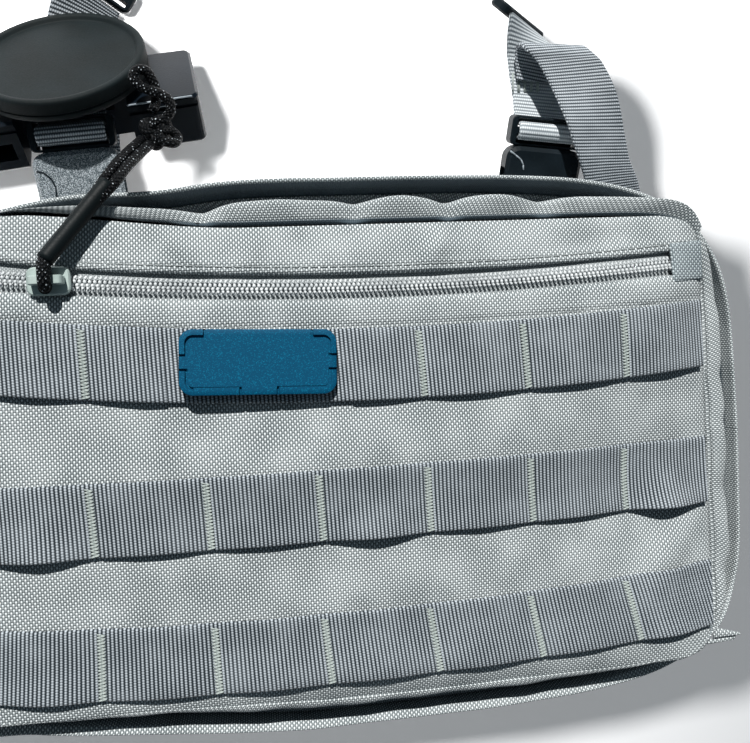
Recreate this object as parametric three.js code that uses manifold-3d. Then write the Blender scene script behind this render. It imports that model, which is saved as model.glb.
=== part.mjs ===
// Chest pack lying on its back: zipped front pocket, three rows of loop webbing, two strap sets
// with side-release buckles, and a round dock clipped to the left strap.
// Millimetres. +Z points out of the front panel, +Y to the pack's top edge, +X to the wearer's left.
// The origin is the centre of the back panel's flat underside.
import * as THREE from 'three';
import { mergeVertices } from 'three/addons/utils/BufferGeometryUtils.js';
import Module from 'manifold-3d';

const wasm = await Module();
wasm.setup();

// Driving sizes
const GAP = 0.3; // clearance between neighbouring pieces
const CLOTH = 2; // wall of the pack cloth
const WEBBING_WIDTH = 25.4;
const WEBBING_THICK = 1.8;
const TACK_SPACING = 38.1;
const ROW_PITCH = 50.8;
const RIM_HALF_WIDTH = 167;
const RIM_HALF_HEIGHT = 106;
const RIM_POWER = 4.4; // exponent of the rim's superellipse
const RIM_HEIGHT = 45.4; // top of the lip above the floor
const LIP_RISE_AT_TOP = 2; // extra height of the lip along the top edge
const FRONT_HALF_WIDTH = 141;
const FRONT_HALF_HEIGHT = 86.5;
const FRONT_POWER = 14; // exponent of the front outline, nearly a rectangle
const FRONT_EDGE_HEIGHT = 63; // front panel at its seam
const FRONT_CROWN = 7.5; // rise of the front panel's middle
const FRONT_REACH = 0.985; // part of the half height that the panel's last row takes
const PERIMETER_STEPS = 56;

// Pocket zipper: its line dips in the middle of the panel
const ZIP_LOW_Y = 62.5;
const ZIP_LOW_X = 25;
const ZIP_BOW = 0.0004;
const ZIP_HALF_OPENING = 4.4;
const ZIP_TAPE_HALF = 7;
const ZIP_TAPE_THICK = 1;
const ZIP_HALF_LENGTH = 131;
const COIL_WIDTH = 2.9;
const COIL_HEIGHT = 2;
const ZIP_SLIDER_X = -96;
const ZIP_TAB_LENGTH = 13.4;
const ZIP_TAB_HEIGHT = 15;
const ZIP_TAB_THICK = 1.2;

// Strap sets
const BUCKLE_WIDTH = 32;
const BUCKLE_LENGTH = 25;
const BUCKLE_THICK = 10;
const LOCK_WIDTH = 31;
const LOCK_LENGTH = 11.5;
const LOCK_THICK = 7;
const LOCK_BAR = 2.6;
const SLIDER_LENGTH = 31;
const SLIDER_HEIGHT = 10;
const SLIDER_THICK = 4;
const SLIDER_SLOT = 2.2; // also the width of the bar between its two slots

// Dock
const DOCK_LENGTH = 96;
const DOCK_DEPTH = 35;
const DOCK_THICK = 20;
const DOCK_DISC_RADIUS = 32;
const DOCK_DISC_THICK = 10.5;
const DOCK_DISC_SHIFT = 6; // the disc's middle past the dock's
const DOCK_LEAN = 41; // degrees that the dock's face leans back from level
const DOCK_TURN = 8.3;
const DOCK_PLACE = { x: -94.4, y: 144.8, z: 29 };

// Pull cord
const CORD_DIAMETER = 3.6;
const SHEATH_DIAMETER = 5.8;

// Webbing rows: centre line, how far it sags, where it sags most, and the half span of that sag
const ROWS = [
  { name: 'molle_row_1', y: 38.3, sag: 3.4, sag_x: 30, rise: 5.8, span: 116 },
  { name: 'molle_row_2', y: 38.3 - ROW_PITCH, sag: 0.5, sag_x: 20, rise: 0.8, span: 110 },
  { name: 'molle_row_3', y: 38.3 - 2 * ROW_PITCH, sag: 0.5, sag_x: 10, rise: 2.4, span: 96 },
];
const TACK_SHIFT = -10; // x of the middle tack
const TACKS_EACH_SIDE = 3;
const ROW_HALF_LENGTH = 138.5;
const ROW_GAP = 0.7; // webbing over the panel at its tacks
const LOOP_LIFT = 1; // how far each loop stands off between its tacks

// Loops whose lower edge hangs away from the panel: row, loop counted from the left, lift
const LOOSE_LOOPS = [
  { row: 1, loop: 4, lift: 2.2 },
  { row: 1, loop: 7, lift: 4.5 },
  { row: 1, loop: 1, lift: 2.4 },
  { row: 2, loop: 1, lift: 1.8 },
  { row: 2, loop: 7, lift: 2 },
  { row: 0, loop: 7, lift: 1.6 },
];

// Folds and dents of the front panel: middle, half length, half width, direction, and rise
const FOLDS = [
  { x: 126, y: -39, length: 22, width: 7, turn: 52, rise: 3.4 },
  { x: 104, y: -38, length: 30, width: 10, turn: 8, rise: -3.6 },
  { x: -30, y: -38, length: 70, width: 12, turn: 3, rise: -2 },
  { x: 40, y: 12, length: 80, width: 14, turn: 2, rise: -1.4 },
  { x: 38, y: 78, length: 9, width: 4, turn: 80, rise: 2.2 },
  { x: 10, y: 75, length: 90, width: 6, turn: 0, rise: 1.8 },
  { x: 100, y: 77, length: 26, width: 5, turn: 12, rise: -1.6 },
];

// Gathers of the gusset along the top edge: place along x, half width, and how far it stands out
const GATHERS = [
  { x: -96, width: 17, out: 2.4 },
  { x: -52, width: 14, out: 1.6 },
  { x: -6, width: 20, out: 2.2 },
  { x: 48, width: 14, out: 2.6 },
  { x: 92, width: 18, out: 1.8 },
];

// Materials
const cloth = new THREE.MeshStandardMaterial({ color: 0xb4bcc0, roughness: 0.85 });
const webbing = new THREE.MeshStandardMaterial({ color: 0x9fa7ad, roughness: 0.8 });
const coilPlastic = new THREE.MeshStandardMaterial({ color: 0xc4cacb, roughness: 0.5 });
const blackPlastic = new THREE.MeshStandardMaterial({ color: 0x14191d, roughness: 0.45 });
const blackCord = new THREE.MeshStandardMaterial({ color: 0x0d0f11, roughness: 0.8 });
const paleMetal = new THREE.MeshStandardMaterial({ color: 0xa9b8b4, roughness: 0.4, metalness: 0.6 });
const bluePaint = new THREE.MeshStandardMaterial({ color: 0x0f557d, roughness: 0.35, metalness: 0.5 });

const pack = new THREE.Group();

function addPiece(name, geometry, material, parent = pack) {
  const mesh = new THREE.Mesh(geometry, material);
  mesh.name = name;
  parent.add(mesh);
  return mesh;
}

function geometryFrom(points, triangles) {
  const geometry = new THREE.BufferGeometry();
  const flat = points.flatMap((p) => [p.x, p.y, p.z]);
  geometry.setAttribute('position', new THREE.Float32BufferAttribute(flat, 3));
  geometry.setIndex(triangles);
  return geometry;
}

// A closed solid through a loop of rings, each a list of points; rings close on themselves.
// A tube ends in its first and last ring, which are fanned shut; a band closes last ring to first.
function ringSolid(rings, isBand) {
  const count = rings[0].length;
  const points = rings.flat();
  const triangles = [];
  const last = isBand ? rings.length : rings.length - 1;
  for (let r = 0; r < last; r++) {
    const below = r * count;
    const above = ((r + 1) % rings.length) * count;
    for (let i = 0; i < count; i++) {
      const j = (i + 1) % count;
      triangles.push(below + i, below + j, above + j, below + i, above + j, above + i);
    }
  }
  if (!isBand) {
    for (const [ring, flip] of [[0, true], [rings.length - 1, false]]) {
      const middle = new THREE.Vector3();
      for (const p of rings[ring]) middle.addScaledVector(p, 1 / count);
      points.push(middle);
      for (let i = 0; i < count; i++) {
        const a = ring * count + i;
        const b = ring * count + ((i + 1) % count);
        triangles.push(...(flip ? [points.length - 1, b, a] : [points.length - 1, a, b]));
      }
    }
  }
  return geometryFrom(points, triangles);
}

// A closed slab between two surfaces given over the unit square.
function slab(columns, rows, top, bottom) {
  const rings = [];
  for (let r = 0; r <= rows; r++) {
    const ring = [];
    for (let c = 0; c <= columns; c++) ring.push(top(c / columns, r / rows));
    for (let c = columns; c >= 0; c--) ring.push(bottom(c / columns, r / rows));
    rings.push(ring);
  }
  const count = 2 * (columns + 1);
  const points = rings.flat();
  const triangles = [];
  for (let r = 0; r < rows; r++) {
    for (let i = 0; i < count; i++) {
      const j = (i + 1) % count;
      const a = r * count;
      const b = (r + 1) * count;
      triangles.push(a + i, a + j, b + j, a + i, b + j, b + i);
    }
  }
  for (const [ring, flip] of [[0, true], [rows, false]]) {
    for (let c = 0; c < columns; c++) {
      const a = ring * count + c;
      const d = ring * count + count - 1 - c;
      const quad = [a, a + 1, d - 1, a, d - 1, d];
      triangles.push(...(flip ? quad.reverse() : quad));
    }
  }
  return geometryFrom(points, triangles);
}

// Merges the shared vertices of a closed geometry and drops triangles that this flattens.
function weld(geometry) {
  for (const key of Object.keys(geometry.attributes)) {
    if (key !== 'position') geometry.deleteAttribute(key);
  }
  const welded = mergeVertices(geometry, 1e-3);
  const index = welded.index.array;
  const kept = [];
  for (let i = 0; i < index.length; i += 3) {
    const [a, b, c] = [index[i], index[i + 1], index[i + 2]];
    if (a !== b && b !== c && c !== a) kept.push(a, b, c);
  }
  welded.setIndex(kept);
  return welded;
}

function manifoldFrom(welded) {
  return new wasm.Manifold(new wasm.Mesh({
    numProp: 3,
    vertProperties: new Float32Array(welded.attributes.position.array),
    triVerts: new Uint32Array(welded.index.array),
  }));
}

function geometryOf(solid) {
  const mesh = solid.getMesh();
  const geometry = new THREE.BufferGeometry();
  geometry.setAttribute('position', new THREE.BufferAttribute(new Float32Array(mesh.vertProperties), 3));
  geometry.setIndex(new THREE.BufferAttribute(new Uint32Array(mesh.triVerts), 1));
  return geometry;
}

function cut(geometry, ...tools) {
  let solid = manifoldFrom(geometry);
  for (const tool of tools) solid = solid.subtract(manifoldFrom(tool));
  return geometryOf(solid);
}

function join(geometry, ...others) {
  let solid = manifoldFrom(geometry);
  for (const other of others) solid = solid.add(manifoldFrom(other));
  return geometryOf(solid);
}

function box(width, depth, height, x = 0, y = 0, z = 0) {
  return weld(new THREE.BoxGeometry(width, depth, height)).translate(x, y, z);
}

// A plate with round corners and a small bevel, centred on the origin, thick along Z.
function roundedPlate(width, height, thick, corner, bevel) {
  const w = width / 2 - bevel;
  const h = height / 2 - bevel;
  const r = corner - bevel;
  const shape = new THREE.Shape();
  shape.moveTo(-w + r, -h);
  shape.lineTo(w - r, -h);
  shape.absarc(w - r, -h + r, r, -Math.PI / 2, 0);
  shape.lineTo(w, h - r);
  shape.absarc(w - r, h - r, r, 0, Math.PI / 2);
  shape.lineTo(-w + r, h);
  shape.absarc(-w + r, h - r, r, Math.PI / 2, Math.PI);
  shape.lineTo(-w, -h + r);
  shape.absarc(-w + r, -h + r, r, Math.PI, 1.5 * Math.PI);
  const geometry = new THREE.ExtrudeGeometry(shape, {
    depth: thick - 2 * bevel,
    bevelEnabled: bevel > 0,
    bevelThickness: bevel,
    bevelSize: bevel,
    bevelSegments: 1,
    curveSegments: 2,
  });
  return weld(geometry).translate(0, 0, -thick / 2 + bevel);
}

// Places on the pack

const power = (value, exponent) => Math.abs(value) ** exponent;

// Directions round the pack, evenly spaced along a rectangle of the rim's proportions.
function perimeter() {
  const total = 4 * (RIM_HALF_WIDTH + RIM_HALF_HEIGHT);
  const directions = [];
  for (let i = 0; i < PERIMETER_STEPS; i++) {
    let way = (i / PERIMETER_STEPS) * total;
    const sides = [
      { length: RIM_HALF_HEIGHT, at: (t) => [1, t] },
      { length: 2 * RIM_HALF_WIDTH, at: (t) => [1 - 2 * t, 1] },
      { length: 2 * RIM_HALF_HEIGHT, at: (t) => [-1, 1 - 2 * t] },
      { length: 2 * RIM_HALF_WIDTH, at: (t) => [-1 + 2 * t, -1] },
      { length: RIM_HALF_HEIGHT, at: (t) => [1, -1 + t] },
    ];
    for (const side of sides) {
      if (way < side.length) {
        directions.push(side.at(way / side.length));
        break;
      }
      way -= side.length;
    }
  }
  return directions;
}

const DIRECTIONS = perimeter();

// One ring round the pack: half width, half height, exponent and a height that may follow the place.
function packRing({ width, height, exponent, z, out = () => 0 }) {
  return DIRECTIONS.map(([u, v]) => {
    const scale = (power(u, exponent) + power(v, exponent)) ** (-1 / exponent);
    const extra = out(u * scale * width, v);
    const x = (width + extra) * u * scale;
    const y = (height + extra) * v * scale;
    return new THREE.Vector3(x, y, typeof z === 'function' ? z(x, y) : z);
  });
}

function smoothStep(edge0, edge1, value) {
  const t = Math.min(1, Math.max(0, (value - edge0) / (edge1 - edge0)));
  return t * t * (3 - 2 * t);
}

// Height of the front panel's outer face.
function frontHeight(x, y) {
  const u = Math.min(1, Math.abs(x) / FRONT_HALF_WIDTH);
  const v = Math.min(1, Math.abs(y) / FRONT_HALF_HEIGHT);
  let height = FRONT_EDGE_HEIGHT + FRONT_CROWN * (1 - u ** 4) * (1 - v ** 3);
  const fade = (1 - u ** 8) * (1 - v ** 10);
  for (const fold of FOLDS) {
    const angle = THREE.MathUtils.degToRad(fold.turn);
    const along = (x - fold.x) * Math.cos(angle) + (y - fold.y) * Math.sin(angle);
    const across = (y - fold.y) * Math.cos(angle) - (x - fold.x) * Math.sin(angle);
    height += fade * fold.rise * Math.exp(-((along / fold.length) ** 2) - (across / fold.width) ** 2);
  }
  return height;
}

const frontReach = (y) => {
  const v = Math.min(FRONT_REACH, Math.abs(y) / FRONT_HALF_HEIGHT);
  return FRONT_HALF_WIDTH * (1 - v ** FRONT_POWER) ** (1 / FRONT_POWER);
};

const zipY = (x) => ZIP_LOW_Y + ZIP_BOW * (x - ZIP_LOW_X) ** 2;

// Pack body

function backPanel() {
  const lipTop = (x, y) => RIM_HEIGHT + LIP_RISE_AT_TOP * smoothStep(70, 100, y);
  const lipSide = (x, y) => lipTop(x, y) - 1.2;
  const rings = [
    { width: 130, height: 70, exponent: 5, z: 9 },
    { width: 144, height: 81, exponent: 4.8, z: 16 },
    { width: 153, height: 91, exponent: 4.6, z: 28 },
    { width: 159.5, height: 98.5, exponent: RIM_POWER, z: 36.2 },
    { width: 164.2, height: 103.2, exponent: RIM_POWER, z: 36.5 },
    { width: 164.4, height: 103.4, exponent: RIM_POWER, z: lipSide },
    { width: 165.6, height: 104.6, exponent: RIM_POWER, z: lipTop },
    { width: RIM_HALF_WIDTH, height: RIM_HALF_HEIGHT, exponent: RIM_POWER, z: lipSide },
    { width: 166.4, height: 105.4, exponent: RIM_POWER, z: 40 },
    { width: 160.5, height: 98, exponent: RIM_POWER, z: 32 },
    { width: 152, height: 88, exponent: 4.6, z: 20 },
    { width: 142, height: 79, exponent: 4.8, z: 8 },
    { width: 126, height: 66, exponent: 5, z: 0 },
  ];
  return ringSolid(rings.map(packRing).reverse(), false);
}

function gusset() {
  const gather = (x, v) => {
    if (v < 0.9) return 0;
    return GATHERS.reduce((sum, g) => sum + g.out * Math.exp(-(((x - g.x) / g.width) ** 2)), 0);
  };
  const top = FRONT_EDGE_HEIGHT - CLOTH - GAP;
  const rings = [
    { width: 162.4, height: 101.4, exponent: RIM_POWER, z: 36.9 },
    { width: 159.5, height: 99.2, exponent: 5, z: 45, out: gather },
    { width: 153, height: 95, exponent: 6.5, z: 55, out: gather },
    { width: 141.2, height: 86.7, exponent: FRONT_POWER, z: top },
    { width: 139, height: 84.5, exponent: FRONT_POWER, z: top - 0.3 },
    { width: 150.6, height: 92.6, exponent: 6.5, z: 53.4, out: gather },
    { width: 157.2, height: 96.9, exponent: 5, z: 44.4, out: gather },
    { width: 160.2, height: 99.2, exponent: RIM_POWER, z: 36.9 },
  ];
  return ringSolid(rings.map(packRing), true);
}

// A sheet that lies on the front panel over a footprint, with a gap under it.
function sheetOnFront(columns, rows, place, thick, lift) {
  const top = (s, t) => {
    const { x, y } = place(s, t);
    return new THREE.Vector3(x, y, frontHeight(x, y) + lift(x, y) + thick);
  };
  const bottom = (s, t) => {
    const { x, y } = place(s, t);
    return new THREE.Vector3(x, y, frontHeight(x, y) + lift(x, y));
  };
  return slab(columns, rows, top, bottom);
}

function frontLower() {
  const lowest = -FRONT_REACH * FRONT_HALF_HEIGHT;
  const place = (s, t) => {
    const level = lowest + t * (ZIP_LOW_Y - ZIP_HALF_OPENING - lowest);
    const x = (2 * s - 1) * frontReach(level);
    const y = level + t ** 4 * (zipY(x) - ZIP_LOW_Y);
    return { x, y };
  };
  return sheetOnFront(26, 14, place, CLOTH, () => -CLOTH);
}

function frontUpper() {
  const highest = FRONT_REACH * FRONT_HALF_HEIGHT;
  const place = (s, t) => {
    const level = ZIP_LOW_Y + ZIP_HALF_OPENING + t * (highest - ZIP_LOW_Y - ZIP_HALF_OPENING);
    const x = (2 * s - 1) * frontReach(level);
    const y = level + (1 - t) * (zipY(x) - ZIP_LOW_Y);
    return { x, y };
  };
  return sheetOnFront(28, 4, place, CLOTH, () => -CLOTH);
}

// Corner fold: its outline on the right side, its thickness, and where its first corner sits.
const CORNER_TAB = { outline: [[0, 0], [12, -4], [11, -7], [-2, -9]], thick: 2.4, x: 149.5, y: -80.2 };

function cornerTab(side) {
  const shape = new THREE.Shape(CORNER_TAB.outline.map(([x, y]) => new THREE.Vector2(x, y)));
  const geometry = weld(new THREE.ExtrudeGeometry(shape, { depth: CORNER_TAB.thick, bevelEnabled: false }));
  if (side < 0) {
    geometry.applyMatrix4(new THREE.Matrix4().makeRotationY(Math.PI)).translate(0, 0, CORNER_TAB.thick);
  }
  return geometry;
}

addPiece('back_panel', backPanel(), cloth);
addPiece('gusset', gusset(), cloth);
addPiece('front_lower', frontLower(), cloth);
addPiece('front_upper', frontUpper(), cloth);
for (const [name, side] of [['corner_tab_right', 1], ['corner_tab_left', -1]]) {
  const tab = addPiece(name, cornerTab(side), cloth);
  tab.position.set(side * CORNER_TAB.x, CORNER_TAB.y, RIM_HEIGHT + GAP);
}

// Pocket zipper

function zipStrip(offset, width, thick, drop) {
  const place = (s, t) => {
    const x = (2 * t - 1) * ZIP_HALF_LENGTH;
    return { x, y: zipY(x) + offset + (0.5 - s) * width };
  };
  return sheetOnFront(1, 28, place, thick, () => -drop);
}

const tapeDrop = CLOTH + 0.9 + ZIP_TAPE_THICK;
const coilDrop = CLOTH;
addPiece('zip_tape', zipStrip(0, 2 * ZIP_TAPE_HALF, ZIP_TAPE_THICK, tapeDrop), cloth);
const coilOffset = COIL_WIDTH / 2 + GAP / 2;
addPiece('zip_coil_upper', zipStrip(coilOffset, COIL_WIDTH, COIL_HEIGHT, coilDrop), coilPlastic);
addPiece('zip_coil_lower', zipStrip(-coilOffset, COIL_WIDTH, COIL_HEIGHT, coilDrop), coilPlastic);

function zipTab(side) {
  const place = (s, t) => {
    const x = side * (FRONT_HALF_WIDTH - 0.6) - side * (1 - t) * ZIP_TAB_LENGTH;
    const across = side > 0 ? 0.5 - s : s - 0.5;
    return { x, y: zipY(x) + across * ZIP_TAB_HEIGHT };
  };
  return sheetOnFront(4, 3, place, ZIP_TAB_THICK, () => GAP);
}

addPiece('zip_tab_right', zipTab(1), cloth);
addPiece('zip_tab_left', zipTab(-1), cloth);

// Slider: a flat shoe with a bridge that the pull's eye goes through.
const ZIP_SHOE = { length: 14, width: 9.6, thick: 2.4, corner: 2.6, bevel: 0.5 };
const ZIP_BRIDGE = { length: 11, height: 5.6, thick: 3, corner: 1.2, bevel: 0.3, rise: 3.6 };
const ZIP_EYE_HOLE = { length: 6.4, height: 3.6, up: 0.2 };

function zipSlider() {
  const { rise } = ZIP_BRIDGE;
  const shoe = roundedPlate(ZIP_SHOE.length, ZIP_SHOE.width, ZIP_SHOE.thick, ZIP_SHOE.corner, ZIP_SHOE.bevel);
  const arch = roundedPlate(
    ZIP_BRIDGE.length, ZIP_BRIDGE.height, ZIP_BRIDGE.thick, ZIP_BRIDGE.corner, ZIP_BRIDGE.bevel);
  const hole = box(ZIP_EYE_HOLE.length, ZIP_EYE_HOLE.height, 3 * ZIP_BRIDGE.thick, 0, ZIP_EYE_HOLE.up, 0);
  return join(shoe, cut(arch, hole).rotateX(Math.PI / 2).translate(0, 0, rise));
}

const sliderPlace = new THREE.Vector3(ZIP_SLIDER_X, zipY(ZIP_SLIDER_X), 0);
sliderPlace.z = frontHeight(sliderPlace.x, sliderPlace.y) + GAP + ZIP_SHOE.thick / 2 + ZIP_SHOE.bevel;
addPiece('zip_slider', zipSlider(), paleMetal).position.copy(sliderPlace);

// Pull cord

function tube(points, diameter, steps, sides = 8, closed = false) {
  const path = new THREE.CatmullRomCurve3(points, closed, 'centripetal');
  const frames = path.computeFrenetFrames(steps, closed);
  const rings = [];
  for (let i = 0; i < (closed ? steps : steps + 1); i++) {
    const middle = path.getPointAt(i / steps);
    const ring = [];
    for (let k = 0; k < sides; k++) {
      const angle = (2 * Math.PI * k) / sides;
      ring.push(middle.clone()
        .addScaledVector(frames.normals[i], (Math.cos(angle) * diameter) / 2)
        .addScaledVector(frames.binormals[i], (Math.sin(angle) * diameter) / 2));
    }
    rings.push(ring);
  }
  return ringSolid(rings, closed);
}

const at = (x, y, z) => new THREE.Vector3(x, y, z);

const SHEATH_START = at(-95.5, 74.7, 74.2);
const SHEATH_END = at(-75.5, 101, 66);
const KNOT = at(-62.5, 124.6, 43.4);
const KNOT_RADIUS = 5.2;
const EYE = { diameter: 2, half_length: 4.2, half_height: 2.4, forward: 0.8, height: 5.9, points: 12 };

// The eye: a flat loop of cord through the slider's bridge, which ends under the sheath.
function eyeRoute() {
  const points = [];
  for (let i = 0; i < EYE.points; i++) {
    const angle = (2 * Math.PI * i) / EYE.points;
    const y = EYE.forward + EYE.half_length * Math.cos(angle);
    const z = EYE.height + EYE.half_height * Math.sin(angle);
    points.push(sliderPlace.clone().add(at(0, y, z)));
  }
  return points;
}

const strandSpread = at(0.75, -0.55, 0.35).normalize().multiplyScalar((CORD_DIAMETER + GAP) / 2);
const sheathWay = SHEATH_END.clone().sub(SHEATH_START).normalize();

// A strand from the sheath's end, sagging to the knot.
function strand(sign) {
  const start = SHEATH_END.clone().addScaledVector(sheathWay, 3 * GAP).addScaledVector(strandSpread, sign);
  const knotSide = at(-1.8, -4.6, 3.4).normalize().multiplyScalar(KNOT_RADIUS + 5 * GAP);
  const end = KNOT.clone().add(knotSide).addScaledVector(strandSpread, sign);
  const early = start.clone().lerp(end, 0.3).add(at(0.2, 0.4, 1.6));
  const late = start.clone().lerp(end, 0.68).add(at(0.2, 0.4, 1.2));
  return [start, early, late, end];
}

// The loop past the knot: up to the disc's rim, round, and back under itself along the dock's face.
const LOOP_ROUTE = [
  at(-56.8, 129.2, 44.5),
  at(-55.1, 131.2, 45.6),
  at(-55.3, 134.6, 46.6),
  at(-58.2, 136.8, 47.2),
  at(-62.3, 138.2, 47.6),
  at(-65.6, 140, 47.6),
  at(-67.4, 142.8, 47.6),
  at(-66, 145.4, 47.4),
  at(-63, 145.4, 46.8),
  at(-61, 142.6, 45),
  at(-60.2, 138.6, 42.8),
  at(-60.7, 134.4, 42.7),
  at(-61.7, 131.6, 45.3),
];

const knotSides = weld(new THREE.IcosahedronGeometry(KNOT_RADIUS, 2)).scale(1, 1.15, 0.92);

addPiece('pull_eye', tube(eyeRoute(), EYE.diameter, 12, 6, true), blackCord);
addPiece('pull_sheath', tube([SHEATH_START, SHEATH_END], SHEATH_DIAMETER, 4, 12), blackCord);
addPiece('pull_strand_1', tube(strand(1), CORD_DIAMETER, 6), blackCord);
addPiece('pull_strand_2', tube(strand(-1), CORD_DIAMETER, 6), blackCord);
addPiece('pull_knot', knotSides, blackCord).position.copy(KNOT);
addPiece('pull_loop', tube(LOOP_ROUTE, CORD_DIAMETER, 18), blackCord);

// Webbing on the front

const tackX = (k) => TACK_SHIFT + k * TACK_SPACING;

// Ends of the loops of a row: the row's own ends and every tack between them.
const loopEnds = [-ROW_HALF_LENGTH];
for (let k = -TACKS_EACH_SIDE; k <= TACKS_EACH_SIDE; k++) loopEnds.push(tackX(k));
loopEnds.push(ROW_HALF_LENGTH);

const rowY = (row, x) => row.y - row.sag + row.rise * ((x - row.sag_x) / row.span) ** 2;

const BADGE = { x: -28.5, width: 52.4, height: 23.2, thick: 3.8, turn: -2.6, y: 37.3 };
const BADGE_BASE = { thick: 1.2, inset: 3.2 };

function webbingRow(index) {
  const row = ROWS[index];
  const loopsUnderBadge = (x) => index === 0 && Math.abs(x - BADGE.x) < 0.6 * BADGE.width;
  const lift = (x, across) => {
    const loop = Math.min(loopEnds.length - 2, loopEnds.findLastIndex((end) => end <= x));
    const part = (x - loopEnds[loop]) / (loopEnds[loop + 1] - loopEnds[loop]);
    const arch = Math.sin(Math.PI * part) ** 2;
    if (loopsUnderBadge(x)) return ROW_GAP;
    const loose = LOOSE_LOOPS.find((entry) => entry.row === index && entry.loop === loop);
    return ROW_GAP + LOOP_LIFT * arch + (loose ? loose.lift * arch * across ** 2 : 0);
  };
  const surface = (thick) => (s, t) => {
    const x = (2 * t - 1) * ROW_HALF_LENGTH;
    const y = rowY(row, x) + (0.5 - s) * WEBBING_WIDTH;
    return at(x, y, frontHeight(x, y) + lift(x, s) + thick);
  };
  return slab(2, 42, surface(WEBBING_THICK), surface(0));
}

ROWS.forEach((row, index) => addPiece(row.name, webbingRow(index), webbing));

// Badge plate: a bare plate with an angle groove in each corner, on a thin dark base.
function badgePlate() {
  const plate = roundedPlate(BADGE.width, BADGE.height, BADGE.thick, 4.5, 0.8);
  const grooves = [];
  const inset = 3;
  const depth = 1;
  for (const sx of [-1, 1]) {
    for (const sy of [-1, 1]) {
      const cornerX = sx * (BADGE.width / 2 - inset);
      const cornerY = sy * (BADGE.height / 2 - inset);
      grooves.push(box(7, 0.7, depth, cornerX - sx * 3.5, cornerY, BADGE.thick / 2));
      grooves.push(box(0.7, 4.6, depth, cornerX, cornerY - sy * 2.3, BADGE.thick / 2));
    }
  }
  return cut(plate, ...grooves);
}

const badgeFloor = FRONT_EDGE_HEIGHT + FRONT_CROWN + ROW_GAP + WEBBING_THICK - 0.6;
const badge = new THREE.Group();
badge.position.set(BADGE.x, BADGE.y, badgeFloor + GAP);
badge.rotation.z = THREE.MathUtils.degToRad(BADGE.turn);
pack.add(badge);
const baseGeometry = roundedPlate(
  BADGE.width - BADGE_BASE.inset, BADGE.height - BADGE_BASE.inset, BADGE_BASE.thick, 4.5, 0.3);
addPiece('badge_base', baseGeometry, blackPlastic, badge).position.z = BADGE_BASE.thick / 2;
const plateMiddle = BADGE_BASE.thick + GAP + BADGE.thick / 2;
addPiece('badge_plate', badgePlate(), bluePaint, badge).position.z = plateMiddle;

// Dock on the left strap

const dock = new THREE.Group();
dock.position.set(DOCK_PLACE.x, DOCK_PLACE.y, DOCK_PLACE.z);
dock.rotation.set(THREE.MathUtils.degToRad(-DOCK_LEAN), 0, THREE.MathUtils.degToRad(DOCK_TURN), 'ZYX');
pack.add(dock);

// Cuts in the dock: room for the lock, the strap's channel, a slot each side of it, and the sill's groove.
const DOCK_CUTS = {
  recess: { width: 41, depth: 13.5, x: 1 },
  channel: { width: 30, height: 10, x: 0.6, below: 4 },
  slot: { width: 10, depth: 12, height: 7, x: [-27.5, 29], z: -2 },
  sill: { size: 2, below: 3.4 },
};

// Body: a long box with a strap channel under the disc, and two slots in the wall beside the strap.
function dockBody() {
  const body = roundedPlate(DOCK_LENGTH, DOCK_DEPTH, DOCK_THICK, 3, 1);
  const top = DOCK_THICK / 2;
  const near = -DOCK_DEPTH / 2;
  const { recess, channel, slot, sill } = DOCK_CUTS;
  const lockRecess = box(recess.width, 2 * recess.depth, 3 * DOCK_THICK, recess.x, near, 0);
  const strapChannel = box(channel.width, 2 * DOCK_DEPTH, channel.height, channel.x, 0, top - channel.below);
  const slots = slot.x.map((x) => box(slot.width, 2 * slot.depth, slot.height, x, near, slot.z));
  const groove = box(2 * DOCK_LENGTH, sill.size, sill.size, 0, near, top - sill.below);
  return cut(body, lockRecess, strapChannel, groove, ...slots);
}

// Disc: a shallow tray with a raised lip, on a short neck.
const DISC_NECK = { inset: 8, height: 2.2 };

function dockDisc() {
  const r = DOCK_DISC_RADIUS;
  const t = DOCK_DISC_THICK;
  const profile = [
    [0, 0], [r - DISC_NECK.inset, 0], [r - DISC_NECK.inset, DISC_NECK.height], [r - 0.8, DISC_NECK.height],
    [r, DISC_NECK.height + 0.8], [r, t - 0.6], [r - 0.6, t], [r - 2.4, t], [r - 3.4, t - 1.6], [0, t - 1.6],
  ].map(([x, y]) => new THREE.Vector2(x, y));
  return weld(new THREE.LatheGeometry(profile, 32)).rotateX(Math.PI / 2);
}

addPiece('dock_body', dockBody(), blackPlastic, dock).position.z = -DOCK_THICK / 2;
addPiece('dock_disc', dockDisc(), blackPlastic, dock).position.set(0, DOCK_DISC_SHIFT, GAP);

// Strap sets

// A flat strap along stations that give its centre line and the direction of its width.
function ribbon(stations, width, thick, steps) {
  const path = new THREE.CatmullRomCurve3(stations.map((s) => at(s.x, s.y, s.z)), false, 'centripetal');
  const station = (t) => {
    const parameter = path.getUtoTmapping(t) * (stations.length - 1);
    const k = Math.min(stations.length - 2, Math.floor(parameter));
    const way = path.getTangentAt(t);
    const across = at(...stations[k].across).lerp(at(...stations[k + 1].across), parameter - k).normalize();
    return { middle: path.getPointAt(t), across, up: across.clone().cross(way).normalize() };
  };
  const face = (height) => (s, t) => {
    const { middle, across, up } = station(t);
    return middle.addScaledVector(across, (s - 0.5) * width).addScaledVector(up, height);
  };
  return slab(1, steps, face(thick / 2), face(-thick / 2));
}

// Female half: a bevelled shell with the prong windows at its sides and a mouth for the tab.
const PRONG_WINDOW = { radius: 6, stretch: 1.35, past: 1.6, back: 4 };
const BUCKLE_MOUTH = { depth: 6, height: 4 };

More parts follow.
